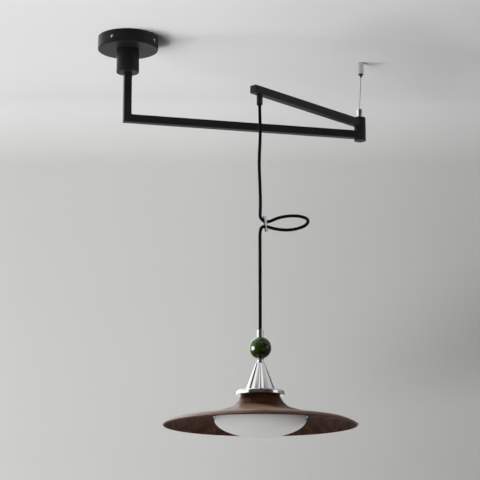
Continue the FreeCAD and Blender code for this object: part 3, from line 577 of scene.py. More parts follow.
def canopy_screws():
    _, r, _, _ = span("canopy_cover")
    low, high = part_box("canopy_side_screws")
    level = (low.z + high.z) / 2
    made = pan_screw("one_screw", SCREW_HEAD, SCREW_HIGH, SCREW_SHANK, SCREW_LONG,
                     cross_outline(RECESS_LONG, RECESS_WIDE))
    verts = [v.co.copy() for v in made.data.vertices]
    faces = [tuple(p.vertices) for p in made.data.polygons]
    bpy.data.objects.remove(made)
    parts = []
    for k, angle in enumerate(SCREW_SPINS):
        out = Matrix.Rotation(SCREW_TURN + math.pi / 2 * k, 4, "Z")
        spin = Matrix.Rotation(angle, 4, "Z")
        place = out @ Matrix.Translation((r * MM, 0, level)) @ Matrix.Rotation(math.pi / 2, 4, "Y") @ spin
        parts.append(([place @ v for v in verts], faces))
    finish_piece(merged("canopy_screw_set", parts), "bright_screw", "canopy", ["canopy_side_screws"])


CUP_EDGE = 1.2
CUP_WALL = 2.0
CUP_FLOOR = 3.0
CUP_BORE = 4.5


def swivel_cup():
    at, r, low, high = span("swivel_cup")
    turned("swivel_cup_shell", [
        (CUP_BORE, low), (r, low, CUP_EDGE), (r, high, 0.6), (r - CUP_WALL, high), (r - CUP_WALL, low + CUP_FLOOR),
        (CUP_BORE, low + CUP_FLOOR)], at, "black_paint", "main_arm", ["swivel_cup"], 128)


# square tube arms

TUBE_HALF = (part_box("main_arm_tube")[1].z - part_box("main_arm_tube")[0].z) / 2
TUBE_CORNER = 1.0 * MM
INNER_BEND = 2.6 * MM
OUTER_BEND = 0.7 * MM
BEND_STEPS = 8
TUBE_LET_IN = 0.4 * MM
WELD_SIZE = 1.1 * MM
WELD_STEP = 0.9 * MM
WELD_SIDES = 10
WELD_RIPPLE = 0.08
WELD_BEAT = 2.1
SWING_LONG = 342 * MM
CAP_THICK = 2 * MM
CAP_GROOVE = 0.25 * MM
CAP_EDGE = 0.5 * MM


def cope(across, radius):
    # how far a round knuckle reaches at that distance from its centre line
    return math.sqrt(radius ** 2 - across ** 2)


def arm_frame():
    _, knuckle, _, _ = span("elbow_lower_knuckle")
    knuckle *= MM
    _, _, cup_low, _ = span("swivel_cup")
    low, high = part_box("main_arm_tube")
    level = (low.z + high.z) / 2
    loop = rounded_square(TUBE_HALF, TUBE_CORNER)
    rings = [[Vector((a, b, cup_low * MM)) for a, b in loop]]
    for k in range(BEND_STEPS + 1):
        angle = math.pi / 2 * k / BEND_STEPS
        ring = []
        for a, b in loop:
            share = (a + TUBE_HALF) / (2 * TUBE_HALF)
            bend = OUTER_BEND + (INNER_BEND - OUTER_BEND) * share
            ring.append(Vector((a + bend * (1 - math.cos(angle)), b,
                                level + a + bend * (1 - math.sin(angle)))))
        rings.append(ring)
    rings.append([Vector((ELBOW.x - cope(b, knuckle) + TUBE_LET_IN, b, level + a)) for a, b in loop])
    finish_piece(new_object("arm_frame", *skin(rings)), "black_paint", "main_arm", ["drop_tube", "main_arm_tube"])
    weld("arm_weld", [Vector((ELBOW.x - cope(b, knuckle), b, level + a)) for a, b in loop], "main_arm")
    weld("cup_weld", [Vector((a, b, cup_low * MM)) for a, b in loop], "main_arm")


def weld(name, loop, body):
    # rippled bead that closes on itself round the foot of a tube
    line, _ = evenly([*loop, loop[0]], WELD_STEP)
    line = line[:-1]
    rings = []
    count = len(line)
    centre = sum(line, Vector()) / count
    for i, here in enumerate(line):
        along = (line[(i + 1) % count] - line[i - 1]).normalized()
        out = (here - centre).normalized()
        out = (out - along * out.dot(along)).normalized()
        top = along.cross(out)
        size = WELD_SIZE * (1 + WELD_RIPPLE * math.sin(i * WELD_BEAT))
        rings.append([here + (out * math.cos(t) + top * math.sin(t)) * size
                      for t in [2 * math.pi * k / WELD_SIDES for k in range(WELD_SIDES)]])
    finish_piece(new_object(name, *skin(rings, closed=True)), "black_paint", body, sharp=60)


def swing_arm():
    _, knuckle, _, _ = span("elbow_upper_knuckle")
    knuckle *= MM
    low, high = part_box("swing_arm_tube")
    level = (low.z + high.z) / 2
    loop = rounded_square(TUBE_HALF, TUBE_CORNER)
    axis = Vector((ELBOW.x, ELBOW.y, level))

    def section(along, cut=0.0):
        size = 1 - cut / TUBE_HALF
        return [axis + ARM_WAY * along + UP * (a * size) + ARM_SIDE * (b * size) for a, b in loop]

    def foot(let_in):
        return [axis + ARM_WAY * (cope(b, knuckle) - let_in) + UP * a + ARM_SIDE * b for a, b in loop]

    cap_at = SWING_LONG - CAP_THICK
    rings = [foot(TUBE_LET_IN), section(cap_at - CAP_GROOVE), section(cap_at, CAP_GROOVE)]
    finish_piece(new_object("swing_arm_body", *skin(rings)), "black_paint", "swing_arm", ["swing_arm_tube"])
    rings = [section(cap_at, CAP_GROOVE), section(cap_at + CAP_GROOVE), section(SWING_LONG - CAP_EDGE),
             section(SWING_LONG - CAP_EDGE * 0.3, CAP_EDGE * 0.3), section(SWING_LONG, CAP_EDGE)]
    finish_piece(new_object("swing_arm_cap", *skin(rings)), "black_paint", "swing_arm", ["swing_end_cap"])
    weld("swing_weld", foot(0), "swing_arm")


# elbow, wire and anchor

KNUCKLE_EDGE = 0.9
PIN_HEAD = 9.0
PIN_HEAD_HIGH = 3.0
PIN = 5.0
BUSH = 7.05
SOCKET_FLATS = 6.0
SOCKET_DEEP = 2.4


def hexagon(flats):
    reach = flats / math.sqrt(3)
    return [(reach * math.cos(math.pi / 3 * k), reach * math.sin(math.pi / 3 * k)) for k in range(6)]


def elbow():
    at, r, low, high = span("elbow_lower_knuckle")
    turned("elbow_knuckle_low", [
        (PIN_HEAD, low), (r, low, KNUCKLE_EDGE), (r, high, 0.5), (PIN, high), (PIN, low + PIN_HEAD_HIGH),
        (PIN_HEAD, low + PIN_HEAD_HIGH)], at, "black_paint", "main_arm", ["elbow_lower_knuckle"])
    at, r, low, high = span("elbow_upper_knuckle")
    turned("elbow_knuckle_top", [(BUSH, low), (r, low, 0.5), (r, high, KNUCKLE_EDGE), (BUSH, high)],
           at, "black_paint", "swing_arm", ["elbow_upper_knuckle"])
    at, r, low, high = span("elbow_pivot_pin")
    profile = rounded([(0, low), (r, low, 0.4), (r, low + PIN_HEAD_HIGH), (PIN, low + PIN_HEAD_HIGH),
                       (PIN, high, 0.4), (0, high)])
    verts, faces = lathe_mesh([p * MM for p in profile], 96)
    shift = Vector((at.x, at.y, 0))
    solid = new_object("pin_blank", [v + shift for v in verts], faces)
    corners = [(x * MM, y * MM) for x, y in hexagon(SOCKET_FLATS)]
    cut_verts, cut_faces = prism(corners, (low - 1) * MM, (low + SOCKET_DEEP) * MM)
    pin = carved("elbow_pin", solid, [new_object("socket", [v + shift for v in cut_verts], cut_faces)])
    finish_piece(pin, "black_paint", "main_arm", ["elbow_pivot_pin"])


GRIP_GROOVE = 0.5
GRIP_BAND = 3.2
WIRE_HOLE = 0.9
WIRE_HOLE_DEEP = 1.5
ANCHOR_GROOVE = 0.4
ANCHOR_THREAD = 2.5
ANCHOR_THREAD_DEEP = 12
NIPPLE_COLLAR = 1.8
NIPPLE_NECK = 2.7
NIPPLE_TIP = 2.0


def wire_fittings():
    at, r, low, high = span("wire_gripper")
    band = low + GRIP_BAND
    turned("wire_gripper_body", [
        (0, low), (r, low, 0.6), (r, band), (r - GRIP_GROOVE, band + 0.3), (r - GRIP_GROOVE, band + 0.9),
        (r, band + 1.2), (r, high, 0.6), (0, high)], at, "chrome", "main_arm", ["wire_gripper"], 96)
    at, r, low, high = span("gripper_collet")
    hole = high - WIRE_HOLE_DEEP
    turned("gripper_collet_tip", [
        (0, low), (r, low), (r, high, 0.6), (WIRE_HOLE, high), (WIRE_HOLE, hole), (0, hole)],
        at, "chrome", "main_arm", ["gripper_collet"], 96)
    at, r, low, high = span("anchor_barrel")
    waist, hole = r - ANCHOR_GROOVE, high - ANCHOR_THREAD_DEEP
    turned("anchor_body", [
        (0, low), (r - 1, low, 0.3), (r, low + 1, 0.5), (r, high - 2.6), (waist, high - 2.3), (waist, high - 1.9),
        (r, high - 1.6), (r, high, 0.3), (ANCHOR_THREAD, high), (ANCHOR_THREAD, hole), (0, hole)],
        at, "satin_nickel", "main_arm", ["anchor_barrel"], 96)
    at, r, low, high = span("anchor_nipple")
    collar, hole = high - NIPPLE_COLLAR, low + WIRE_HOLE_DEEP
    turned("anchor_cone", [
        (0, high), (r, high, 0.2), (r, collar, 0.6), (NIPPLE_NECK, collar, 0.5), (NIPPLE_TIP, low, 0.3),
        (WIRE_HOLE, low), (WIRE_HOLE, hole), (0, hole)], at, "black_paint", "main_arm", ["anchor_nipple"], 96)


WIRE_LET_IN = 2.0 * MM
WIRE_DIA = 1.5 * MM
WIRE_STEP = 0.8 * MM
STRANDS = 6
STRAND_SIDES = 8
STRAND_PITCH = 11.0 * MM


def support_wire():
    grip, _, _, grip_top = span("gripper_collet")
    hold, _, hold_low, _ = span("anchor_nipple")
    foot = Vector((grip.x, grip.y, grip_top * MM))
    head = Vector((hold.x, hold.y, hold_low * MM))
    lean = (head - foot).normalized()
    route = [foot - lean * WIRE_LET_IN, foot.lerp(head, 0.3), foot.lerp(head, 0.7), head + lean * WIRE_LET_IN]
    line, length = evenly(nurbs_line(route, 16), WIRE_STEP)
    # six strands round a core, each a third of the wire across
    strand = WIRE_DIA / 6
    parts = [skin(tube_rings(line, strand, STRAND_SIDES))]
    for n in range(STRANDS):
        coil = []
        for i, (here, side, top) in enumerate(path_frames(line)):
            turn = 2 * math.pi * (n / STRANDS + i * WIRE_STEP / STRAND_PITCH)
            coil.append(here + (side * math.cos(turn) + top * math.sin(turn)) * strand * 2)
        parts.append(skin(tube_rings(coil, strand, STRAND_SIDES)))
    rope = merged("support_wire_rope", parts)
    finish_piece(rope, "wire_rope", "main_arm", ["support_wire"], 60)


# gland and cord

GLAND_BORE = 3.35
GLAND_MOUTH = 4.5
GLAND_MOUTH_DEEP = 3
GLAND_SPIGOT = 4.5
GLAND_GROOVE = 0.3
GLAND_GROOVE_DROP = 2.4
GLAND_SCREW_TURN = math.radians(60)
GLAND_SCREW_SPIN = 0.4


def gland():
    at, r, low, high = span("cord_gland")
    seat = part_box("swing_arm_tube")[0].z / MM
    waist, groove = r - GLAND_GROOVE, seat - GLAND_GROOVE_DROP
    turned("gland_body", [
        (GLAND_BORE, high), (GLAND_SPIGOT, high, 0.3), (GLAND_SPIGOT, seat), (r, seat, 0.4), (r, groove),
        (waist, groove - 0.3), (waist, groove - 0.7), (r, groove - 1), (r, low, 0.9), (GLAND_MOUTH, low, 0.4),
        (GLAND_BORE, low + GLAND_MOUTH_DEEP)], at, "black_paint", "swing_arm", ["cord_gland"], 96)
    low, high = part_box("gland_set_screw")
    head = pan_screw("gland_screw", head=2.2, high=1.6, shank=1.5, long=3.0, recess=cross_outline(1.3, 0.3))
    way = Vector((math.cos(GLAND_SCREW_TURN), -math.sin(GLAND_SCREW_TURN), 0))
    face = Vector((PIVOT.x, PIVOT.y, (low.z + high.z) / 2)) + way * (r * MM)
    turn = way.to_track_quat("Z", "Y").to_matrix().to_4x4()
    head.data.transform(Matrix.Translation(face) @ turn @ Matrix.Rotation(GLAND_SCREW_SPIN, 4, "Z"))
    finish_piece(head, "bright_screw", "swing_arm", ["gland_set_screw"])


# the cord's route: right, back and height in millimetres, with the loop through its adjuster
CORD_DIA = 6.4 * MM
LOOP_TOP = -413.0
CORD_ENTRY = -647.3
CORD_ROUTE = [
    (0, 0, -176.8), (0.4, 0, -205), (1.2, 0, -246), (-1.7, 0, -298), (0.1, 0, -342), (1.1, 0, -378),
    (0.7, 0, LOOP_TOP + 13), (0, 0, LOOP_TOP), (12, 2, LOOP_TOP - 10.5), (40, 12, LOOP_TOP + 5),
    (74, 17, LOOP_TOP + 9.2), (97.6, 4, LOOP_TOP - 1), (92, -16, LOOP_TOP - 19.8), (62, -18, LOOP_TOP - 29.5),
    (32, -9, LOOP_TOP - 25.6), (7, -0.5, LOOP_TOP - 15.5), (0, 0, LOOP_TOP - 24), (0, 0, LOOP_TOP - 48.7),
    (0, 0, CORD_ENTRY)]
BRAID_STEP = 0.6 * MM
BRAID_SIDES = 40
BRAID_STRANDS = 10
BRAID_PITCH = 9.0 * MM
BRAID_RELIEF = 0.16 * MM
BRAID_THREAD = 0.4 * MM


def pendant_point(u, v, z):
    return Vector((PIVOT.x, PIVOT.y, 0)) + RIGHT * (u * MM) + AHEAD * (v * MM) + UP * (z * MM)


def pendant_cord(adjuster):
    line, length = evenly(nurbs_line([pendant_point(*p) for p in CORD_ROUTE], 24), BRAID_STEP)
    rings = []
    for i, (here, side, top) in enumerate(path_frames(line)):
        slide = 2 * math.pi * i * BRAID_STEP / BRAID_PITCH
        ring = []
        for k in range(BRAID_SIDES):
            turn = 2 * math.pi * k / BRAID_SIDES
            weave = math.cos(BRAID_STRANDS * turn + slide * 2) * math.cos(BRAID_STRANDS * turn - slide * 2)
            reach = CORD_DIA / 2 - BRAID_RELIEF * (0.5 - 0.5 * weave)
            ring.append(here + (side * math.cos(turn) + top * math.sin(turn)) * reach)
        rings.append(ring)
    verts, faces = skin(rings)
    braid = new_object("pendant_cord_braid", verts, faces)
    strand = braid.data.uv_layers.new(name="strand")
    for poly in braid.data.polygons:
        for corner in poly.loop_indices:
            index = braid.data.loops[corner].vertex_index
            strand.data[corner].uv = (index % BRAID_SIDES * BRAID_STRANDS / BRAID_SIDES,
                                      index // BRAID_SIDES * BRAID_STEP / BRAID_THREAD)
    finish_piece(braid, "black_fabric", "pendant", ["pendant_cord"], 80)


ADJUSTER_LONG = 32.5
ADJUSTER_WIDE = 12.0
ADJUSTER_THICK = 4.2
ADJUSTER_CORNER = 3.6
ADJUSTER_PITCH = 12.4
ADJUSTER_TILT = math.radians(9)
ADJUSTER_TWIST = math.radians(16)
ADJUSTER_OUT = 10.8
ADJUSTER_DROP = -425.6
EYE = 3.35
EYE_EDGE = 0.55
EYE_SIDES = 40
# cosine to the plate's own normal above which a face counts as broad
BROAD = 0.95


def adjuster_plate():
    # flat plate with two rounded eyes, cut from a filled outline
    curve = bpy.data.curves.new("plate", "CURVE")
    curve.dimensions = "2D"
    curve.fill_mode = "BOTH"
    curve.extrude = (ADJUSTER_THICK / 2 - EYE_EDGE) * MM
    curve.bevel_depth = EYE_EDGE * MM
    curve.bevel_resolution = 4
    wide, long, eye = ADJUSTER_WIDE / 2 - EYE_EDGE, ADJUSTER_LONG / 2 - EYE_EDGE, EYE + EYE_EDGE
    corners = [(-wide, -long), (wide, -long), (wide, long), (-wide, long)]
    loops = [rounded([(*corner, ADJUSTER_CORNER) for corner in corners], 8)]
    for middle in (-ADJUSTER_PITCH / 2, ADJUSTER_PITCH / 2):
        loops.append([Vector((math.cos(t) * eye, middle + math.sin(t) * eye))
                      for t in [2 * math.pi * k / EYE_SIDES for k in range(EYE_SIDES)]])
    for loop in loops:
        spline = curve.splines.new("POLY")
        spline.points.add(len(loop) - 1)
        spline.use_cyclic_u = True
        for point, place in zip(spline.points, loop):
            point.co = (place.x * MM, place.y * MM, 0, 1)
    holder = bpy.data.objects.new("plate", curve)
    scene.collection.objects.link(holder)
    mesh = bpy.data.meshes.new_from_object(holder)
    bpy.data.objects.remove(holder)
    # the outline's x points away from the camera and its y up, so an edge faces the camera; then the plate leans
    face = Matrix((AHEAD, UP, RIGHT)).transposed().to_4x4()
    lean = Matrix.Rotation(ADJUSTER_TWIST, 4, UP) @ Matrix.Rotation(-ADJUSTER_TILT, 4, AHEAD)
    mesh.transform(Matrix.Translation(pendant_point(ADJUSTER_OUT, 0, ADJUSTER_DROP)) @ lean @ face)
    plate = bpy.data.objects.new("adjuster_plate", mesh)
    scene.collection.objects.link(plate)
    made = bmesh.new()
    made.from_mesh(mesh)
    bmesh.ops.remove_doubles(made, verts=made.verts, dist=0.01 * MM)
    bmesh.ops.recalc_face_normals(made, faces=made.faces)
    made.to_mesh(mesh)
    made.free()
    finish_piece(plate, "satin_nickel", "pendant", ["cord_adjuster"], 40)
    # the broad faces take the black paint as painted shade, and the edges are bare
    mesh.materials.append(FINISH["black_paint"])
    broad = lean.to_3x3() @ RIGHT
    for poly in mesh.polygons:
        poly.material_index = 1 if abs(poly.normal.dot(broad)) > BROAD else 0
    return plate


# turned metal and glass above the shade

ROD_FIT = 5.1
FERRULE_DEEP = 6
BALL_STEPS = 64
NECK_WAIST = 6.1
CONE_TOP = 8.7
CONE_LIP = 1.7
CONE_WALL = 0.55
CONE_CAP = 3
FLANGE_HOLE = 33
FLANGE_WALL = 1.6
FLANGE_TOP_EDGE = 3.0
FLANGE_LOW_EDGE = 1.4


def ball_stack():
    at, r, low, high = span("cord_ferrule")
    bore, seat = CORD_DIA / 2 / MM, low + FERRULE_DEEP
    turned("ferrule_collar", [
        (bore, high), (r, high, 0.7), (r, low, 0.3), (ROD_FIT, low), (ROD_FIT, seat), (bore, seat)],
        at, "chrome", "pendant", ["cord_ferrule"], 96)
    at, r, low, high = span("glass_ball")
    middle, half = (low + high) / 2, (high - low) / 2
    turns = [math.asin(half / r) * (2 * k / BALL_STEPS - 1) for k in range(BALL_STEPS + 1)]
    round_side = [(r * math.cos(t), middle + r * math.sin(t)) for t in turns]
    turned("ball_green", [(ROD_FIT, low), *round_side, (ROD_FIT, high)],
           at, "green_glass", "pendant", ["glass_ball"], 128)
    at, r, low, high = span("ball_neck")
    turned("neck_collar", [
        (ROD_FIT, high), (NECK_WAIST, high), (r, high - 1, 0.4), (r, high - 2.2, 0.4), (NECK_WAIST, high - 3.2, 0.5),
        (NECK_WAIST, low + 1.6, 0.4), (r, low + 0.8, 0.3), (r, low), (ROD_FIT, low)],
        at, "chrome", "pendant", ["ball_neck"], 96)
    at, r, low, high = span("shade_cone")
    turned("cone_spun", [
        (ROD_FIT, high), (CONE_TOP, high, 0.5), (r, low), (r - CONE_LIP, low), (CONE_TOP - CONE_WALL, high - CONE_CAP),
        (ROD_FIT, high - CONE_CAP)], at, "chrome", "pendant", ["shade_cone"], 192)
    at, r, low, high = span("shade_flange")
    turned("flange_ring", [
        (ROD_FIT, high), (r, high, FLANGE_TOP_EDGE), (r, low, FLANGE_LOW_EDGE), (FLANGE_HOLE, low),
        (FLANGE_HOLE, low + FLANGE_WALL), (r - 2.4, low + FLANGE_WALL), (r - 1.8, (low + high) / 2),
        (r - 2.4, high - FLANGE_WALL), (ROD_FIT, high - FLANGE_WALL)],
        at, "chrome", "pendant", ["shade_flange"], 192, 16)


# shade and bowl

# turning points of the shade's outline, from its axis and from its rim
NECK = (38.3, 58.5)
HIP = (62.0, 33.5)
BRIM = (150.0, 13.5)
RIM_EDGE = 1.0
UNDER = (98.0, 14.5)
RECESS = (94.0, 18.5)
CORE = (28.0, 50.5)
NECK_CURVE, SLOPE_CURVE, BRIM_CURVE, TIP_CURVE, UNDER_CURVE = 38.5, 424.0, 72.0, 2.0, 520.0
FACES_DOWN = -0.02


def shade():
    at, r, rim, _ = span("wood_shade")
    tip = (r, RIM_EDGE)
    under_tip = (r - 3 * RIM_EDGE, 0.0)
    outline = [Vector((ROD_FIT, NECK[1]))]
    outline += arc(NECK, HIP, NECK_CURVE, 1, 20)
    outline += arc(HIP, BRIM, SLOPE_CURVE, 1, 24)
    outline += arc(BRIM, tip, BRIM_CURVE, -1, 20)
    outline += arc(tip, under_tip, TIP_CURVE, -1, 6)
    outline += arc(under_tip, UNDER, UNDER_CURVE, 1, 24)
    outline += [Vector(UNDER), Vector((RECESS[0], UNDER[1])), Vector(RECESS), Vector((CORE[0], RECESS[1])),
                Vector(CORE), Vector((ROD_FIT, CORE[1]))]
    made = turned("shade_walnut", [(p.x, rim + p.y) for p in outline],
                  at, "walnut", "pendant", ["wood_shade"], 256)
    # the downward faces inside the brim take the duller walnut, whose darker tone is painted shade
    made.data.materials.append(OILED_WALNUT_PAINTED_SHADE)
    for poly in made.data.polygons:
        inside = (poly.center - at).xy.length < under_tip[0] * MM
        poly.material_index = 1 if inside and poly.normal.z < FACES_DOWN else 0


BOWL_THICK = 3.0
BOWL_EQUATOR = 13.0
BOWL_MOUTH = 81.5
BOWL_STEPS = 40


def bowl():
    at, r, low, high = span("glass_bowl")
    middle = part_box("wood_shade")[0].z / MM + BOWL_EQUATOR
    deep = middle - low
    turns = [math.pi / 2 * k / BOWL_STEPS for k in range(BOWL_STEPS)]
    outer = [(r * math.cos(t), middle - deep * math.sin(t)) for t in turns]
    inner = [((r - BOWL_THICK) * math.cos(t), middle - (deep - BOWL_THICK) * math.sin(t)) for t in turns]
    turned("bowl_opal", [
        (r - 0.5, high, 0.4), *outer, (0, low), (0, low + BOWL_THICK), *reversed(inner), (BOWL_MOUTH, middle),
        (BOWL_MOUTH, high)], at, "opal_glass", "pendant", ["glass_bowl"], 192)


canopy()
canopy_screws()
swivel_cup()
arm_frame()
swing_arm()
elbow()
wire_fittings()
support_wire()
gland()
pendant_cord(adjuster_plate())
ball_stack()
shade()
bowl()

for part in frame["record"]["subparts"]:
    node = frame["nodes"][part["node"]]
    node.data.materials.clear()
    node.data.materials.append(FINISH[part["material_slot"]])


# room, light and background

WALL_AWAY = 4.171
COVE = 0.121
COVE_STEPS = 12
CEILING = 0.6 * MM
FLOOR = -1.65
ROOM_FRONT = -3.0
ROOM_HALF = 7.0
# painted light and shade on the ceiling and wall: how the paint's tone goes across the view and, in metres, away along
# the ceiling and on down the wall
SIDE_SPAN = (-0.3, 0.77)
SIDE_PAINTED_LIGHT = [(0.04, grey(0.90)), (0.42, grey(0.99)), (0.8, grey(0.97)), (0.95, grey(0.94))]
NEAR, FAR = 3.0, 5.5
DEPTH_PAINTED_LIGHT = [(3.42, 0.85), (3.57, 0.867), (3.74, 0.92), (3.90, 0.955), (4.06, 0.97), (4.17, 0.90), (4.235, 0.893),
              (4.285, 0.92), (4.43, 0.867), (4.62, 0.82), (4.81, 0.79), (5.0, 0.76)]


def room_paint(name, lit, seen, deep, wall, lean):
    # seen and lit from inside the room only; the camera sees another tone than the light does, which paints light and
    # shade across the view, with depth and on the wall
    mat = bpy.data.materials.new(name)
    mat.use_nodes = True
    tree = mat.node_tree
    tree.nodes.clear()
    face = add_node(tree, "NewGeometry").outputs
    path = add_node(tree, "LightPath").outputs
    place = add_node(tree, "TexCoord").outputs["Object"]
    across = share_of(tree, dot(tree, place, RIGHT), *SIDE_SPAN)
    start = CAMERA_PLACE.dot(AHEAD)
    onward = share_of(tree, dot(tree, place, AHEAD - UP), start + NEAR, start + FAR)
    upright = dot(tree, face["Normal"], -UP)
    # painted light and shade for the camera alone: tones across the view, with depth, and on the wall
    painted_light_by_depth = ramp(tree, onward, [((at - NEAR) / (FAR - NEAR), grey(level)) for at, level in deep])
    paint = mix(tree, 1.0, ramp(tree, across, seen), ramp(tree, upright, [(0, wall), (1, grey(1))]), "MULTIPLY")
    paint = mix(tree, 1.0, paint, painted_light_by_depth, "MULTIPLY")
    tone = mix(tree, path["Is Camera Ray"], (*grey(lit), 1), paint)
    # the light is taken as if the paint leaned to the window's side
    tilted = add_node(tree, "VectorMath", {0: face["Normal"], 1: RIGHT * -lean}, operation="ADD").outputs[0]
    even = add_node(tree, "VectorMath", {0: tilted}, operation="NORMALIZE").outputs[0]
    matte = add_node(tree, "BsdfDiffuse", {"Color": tone, "Normal": even})
    clear = add_node(tree, "BsdfTransparent")
    away = calc(tree, "MAXIMUM", face["Backfacing"], path["Is Glossy Ray"])
    pick = add_node(tree, "MixShader", {0: away, 1: matte.outputs[0], 2: clear.outputs[0]})
    add_node(tree, "OutputMaterial", {"Surface": pick.outputs[0]})
    return mat


def sheet_of(name, profile, half, mat):
    # strip along the view's right, with the inside of the room on its front
    verts, faces = [], []
    for along, height in profile:
        for way in (-half, half):
            verts.append(Vector((CAMERA_PLACE.x, CAMERA_PLACE.y, 0)) + AHEAD * along + RIGHT * way + UP * height)
    for k in range(len(profile) - 1):
        faces.append((2 * k, 2 * k + 2, 2 * k + 3, 2 * k + 1))
    mesh = bpy.data.meshes.new(name)
    mesh.from_pydata([tuple(v) for v in verts], [], faces)
    mesh.polygons.foreach_set("use_smooth", [True] * len(mesh.polygons))
    mesh.materials.append(mat)
    thing = bpy.data.objects.new(name, mesh)
    scene.collection.objects.link(thing)
    thing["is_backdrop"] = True
    return thing


cove = []
for k in range(COVE_STEPS + 1):
    angle = math.pi / 2 * k / COVE_STEPS
    cove.append((WALL_AWAY - COVE + COVE * math.sin(angle), CEILING - COVE + COVE * math.cos(angle)))
ceiling = sheet_of("ceiling", [(ROOM_FRONT, CEILING), *cove, (WALL_AWAY, FLOOR)], ROOM_HALF, room_paint(
    "room_paint", lit=0.31, seen=SIDE_PAINTED_LIGHT, deep=DEPTH_PAINTED_LIGHT, wall=(0.955, 0.953, 0.935), lean=1.0))
floor = sheet_of("floor", [(WALL_AWAY, FLOOR), (ROOM_FRONT, FLOOR)], ROOM_HALF, room_paint(
    "floor_paint", lit=0.23, seen=[(0, grey(0.8)), (1, grey(0.8))], deep=[(NEAR, 1), (FAR, 1)], wall=grey(0.92),
    lean=0.0))


def area_lamp(name, place, aim, wide, high, power, mirrored=True):
    lamp = bpy.data.lights.new(name, "AREA")
    lamp.shape = "RECTANGLE"
    lamp.size, lamp.size_y = wide, high
    lamp.energy = power
    thing = bpy.data.objects.new(name, lamp)
    thing.location = place
    thing.rotation_euler = (aim - place).to_track_quat("-Z", "Y").to_euler()
    thing.visible_glossy = mirrored
    thing.visible_camera = False
    scene.collection.objects.link(thing)
    return thing


def lights_only(lamp, name, things, own_shadows=False):
    # the lamp lights these things alone and, with their own shadows, is blocked by them alone
    group = bpy.data.collections.new(name)
    for thing in things:
        group.objects.link(thing)
    lamp.light_linking.receiver_collection = group
    if own_shadows:
        lamp.light_linking.blocker_collection = group


PIECES = [thing for thing in scene.objects if thing.type == "MESH" and thing not in (ceiling, floor)]
middle = Vector((PIVOT.x, PIVOT.y, -0.45))


def from_middle(right, ahead, up):
    return middle + RIGHT * right + AHEAD * ahead + UP * up


area_lamp("window", from_middle(-4.6, -0.7, -0.8), middle, 2.0, 1.5, 14)

# the room's own light, which draws the shadows on the ceiling, and the floor's
bounce = area_lamp("bounce", from_middle(-1.75, -0.7, -1.15), Vector((0.1, 0, 0)), 2.6, 0.9, 79, False)
lights_only(bounce, "room_light", [ceiling, floor])
overhead = area_lamp("overhead", from_middle(0, 0, 0.35), middle, 14.0, 14.0, 560, False)
lights_only(overhead, "floor_light", [floor])

# soft light on the object: the sky from high behind on the left, the floor from below and the room on the right
sky = area_lamp("sky", from_middle(-2.6, 2.3, 1.3), from_middle(0, 0, -0.3), 1.4, 1.4, 195, False)
under = area_lamp("under", from_middle(-1.1, -0.5, -1.6), from_middle(0, 0, -0.3), 2.0, 2.0, 14.5, False)
fill = area_lamp("fill", from_middle(2.2, -1.2, -0.9), from_middle(0, 0, -0.4), 1.4, 1.4, 10, False)
for lamp, name in ((sky, "sky_light"), (under, "under_light"), (fill, "fill_light")):
    lights_only(lamp, name, PIECES, own_shadows=True)

# the nickel fittings are shielded from the sky and see a white card in front
NICKEL = [bpy.data.objects["anchor_body"], bpy.data.objects["adjuster_plate"]]
for thing in NICKEL:
    sky.light_linking.receiver_collection.objects.unlink(thing)
card = area_lamp("card", from_middle(-0.5, -2.4, 0), middle, 1.2, 1.2, 14, False)
lights_only(card, "nickel_light", NICKEL)

# catch light: a soft box that shows as a window in the polished ball alone
low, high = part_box("glass_ball")
ball_at = (low + high) / 2
glint = area_lamp("glint", ball_at - RIGHT * 0.8 - AHEAD * 0.08 - UP * 0.03, ball_at, 0.60, 0.42, 11)
glint.visible_diffuse = False
lights_only(glint, "polished_ball", [bpy.data.objects["ball_green"]])

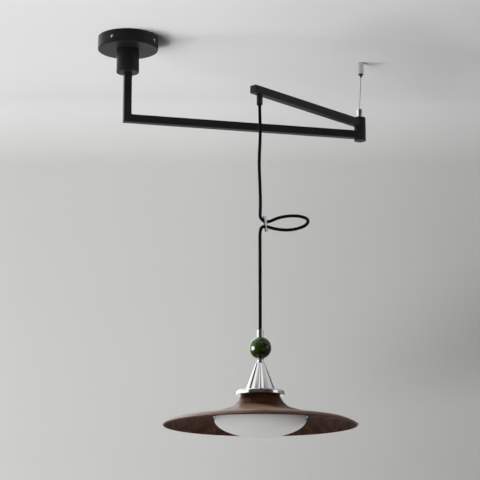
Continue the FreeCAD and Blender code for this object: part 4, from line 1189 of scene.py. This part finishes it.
# what gloss shows of the room: degrees from the way to the camera, left below zero, and brightness
GROUND_BANDS = [
    (-180, 0.66), (-160, 0.66), (-145, 0.2), (-60, 0.2), (-50, 0.03), (36, 0.03), (46, 0.1), (140, 0.1), (160, 0.66),
    (180, 0.66)]
LOW_BANDS = [
    (-180, 0.12), (-172, 0.2), (-164, 1.6), (-140, 1.6), (-134, 1.25), (-62, 1.1), (-55, 0.04), (-25, 0.06),
    (12, 0.05), (34, 0.025), (50, 0.06), (61, 0.1), (66, 0.92), (86, 0.92), (93, 0.24), (130, 0.18), (180, 0.12)]
MID_BANDS = [
    (-180, 1.2), (-172, 2.3), (-150, 2.3), (-132, 0.95), (-64, 0.95), (-56, 0.4), (-40, 0.05), (45, 0.05), (82, 0.06),
    (92, 0.5), (130, 0.45), (136, 0.08), (172, 0.08), (180, 0.5)]
HIGH_BANDS = [
    (-180, 0.7), (-175, 0.9), (-170, 1.8), (-145, 1.8), (-136, 0.95), (-126, 0.95), (-122, 0.05), (-93, 0.05),
    (-89, 0.95), (-64, 0.95), (-56, 0.5), (-46, 0.06), (45, 0.06), (60, 0.4), (80, 0.4), (96, 0.56), (120, 0.48),
    (130, 0.45), (136, 0.3), (172, 0.4), (180, 0.7)]
TOP_BANDS = [
    (-180, 0.5), (-172, 0.6), (-160, 0.95), (-64, 0.95), (-56, 0.7), (-22, 0.28), (-17, 0.9), (-8, 0.9), (-4, 0.2),
    (10, 0.25), (14, 0.98), (31, 0.98), (36, 0.45), (60, 0.52), (80, 0.40), (120, 0.48), (172, 0.4), (180, 0.5)]
ZENITH_BANDS = [
    (-180, 0.6), (-150, 0.9), (-70, 0.8), (-40, 0.1), (0, 0.05), (150, 0.05), (172, 0.3), (180, 0.5)]
# the heights, as sines, between which one row of bands gives way to the next
LEVELS = [(-0.12, -0.02, LOW_BANDS), (0.25, 0.33, MID_BANDS), (0.51, 0.55, HIGH_BANDS), (0.72, 0.76, TOP_BANDS),
          (0.86, 0.92, ZENITH_BANDS)]
# what the camera sees past the room
BACKDROP = (0.62, 0.62, 0.61, 1)


def surroundings():
    world = bpy.data.worlds.new("world")
    scene.world = world
    world.use_nodes = True
    tree = world.node_tree
    way = add_node(tree, "TexCoord").outputs["Generated"]
    right, near, up = [dot(tree, way, axis) for axis in (RIGHT, -AHEAD, UP)]
    share = share_of(tree, calc(tree, "ARCTAN2", right, near), -math.pi, math.pi)

    def around(bands):
        return ramp(tree, share, [(0.5 + turn / 360, grey(level)) for turn, level in bands])

    shown = around(GROUND_BANDS)
    for start, end, bands in LEVELS:
        shown = mix(tree, share_of(tree, up, start, end), shown, around(bands))
    seen = add_node(tree, "LightPath").outputs["Is Camera Ray"]
    tree.links.new(mix(tree, seen, shown, BACKDROP), tree.nodes["Background"].inputs["Color"])


surroundings()

low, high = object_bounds()
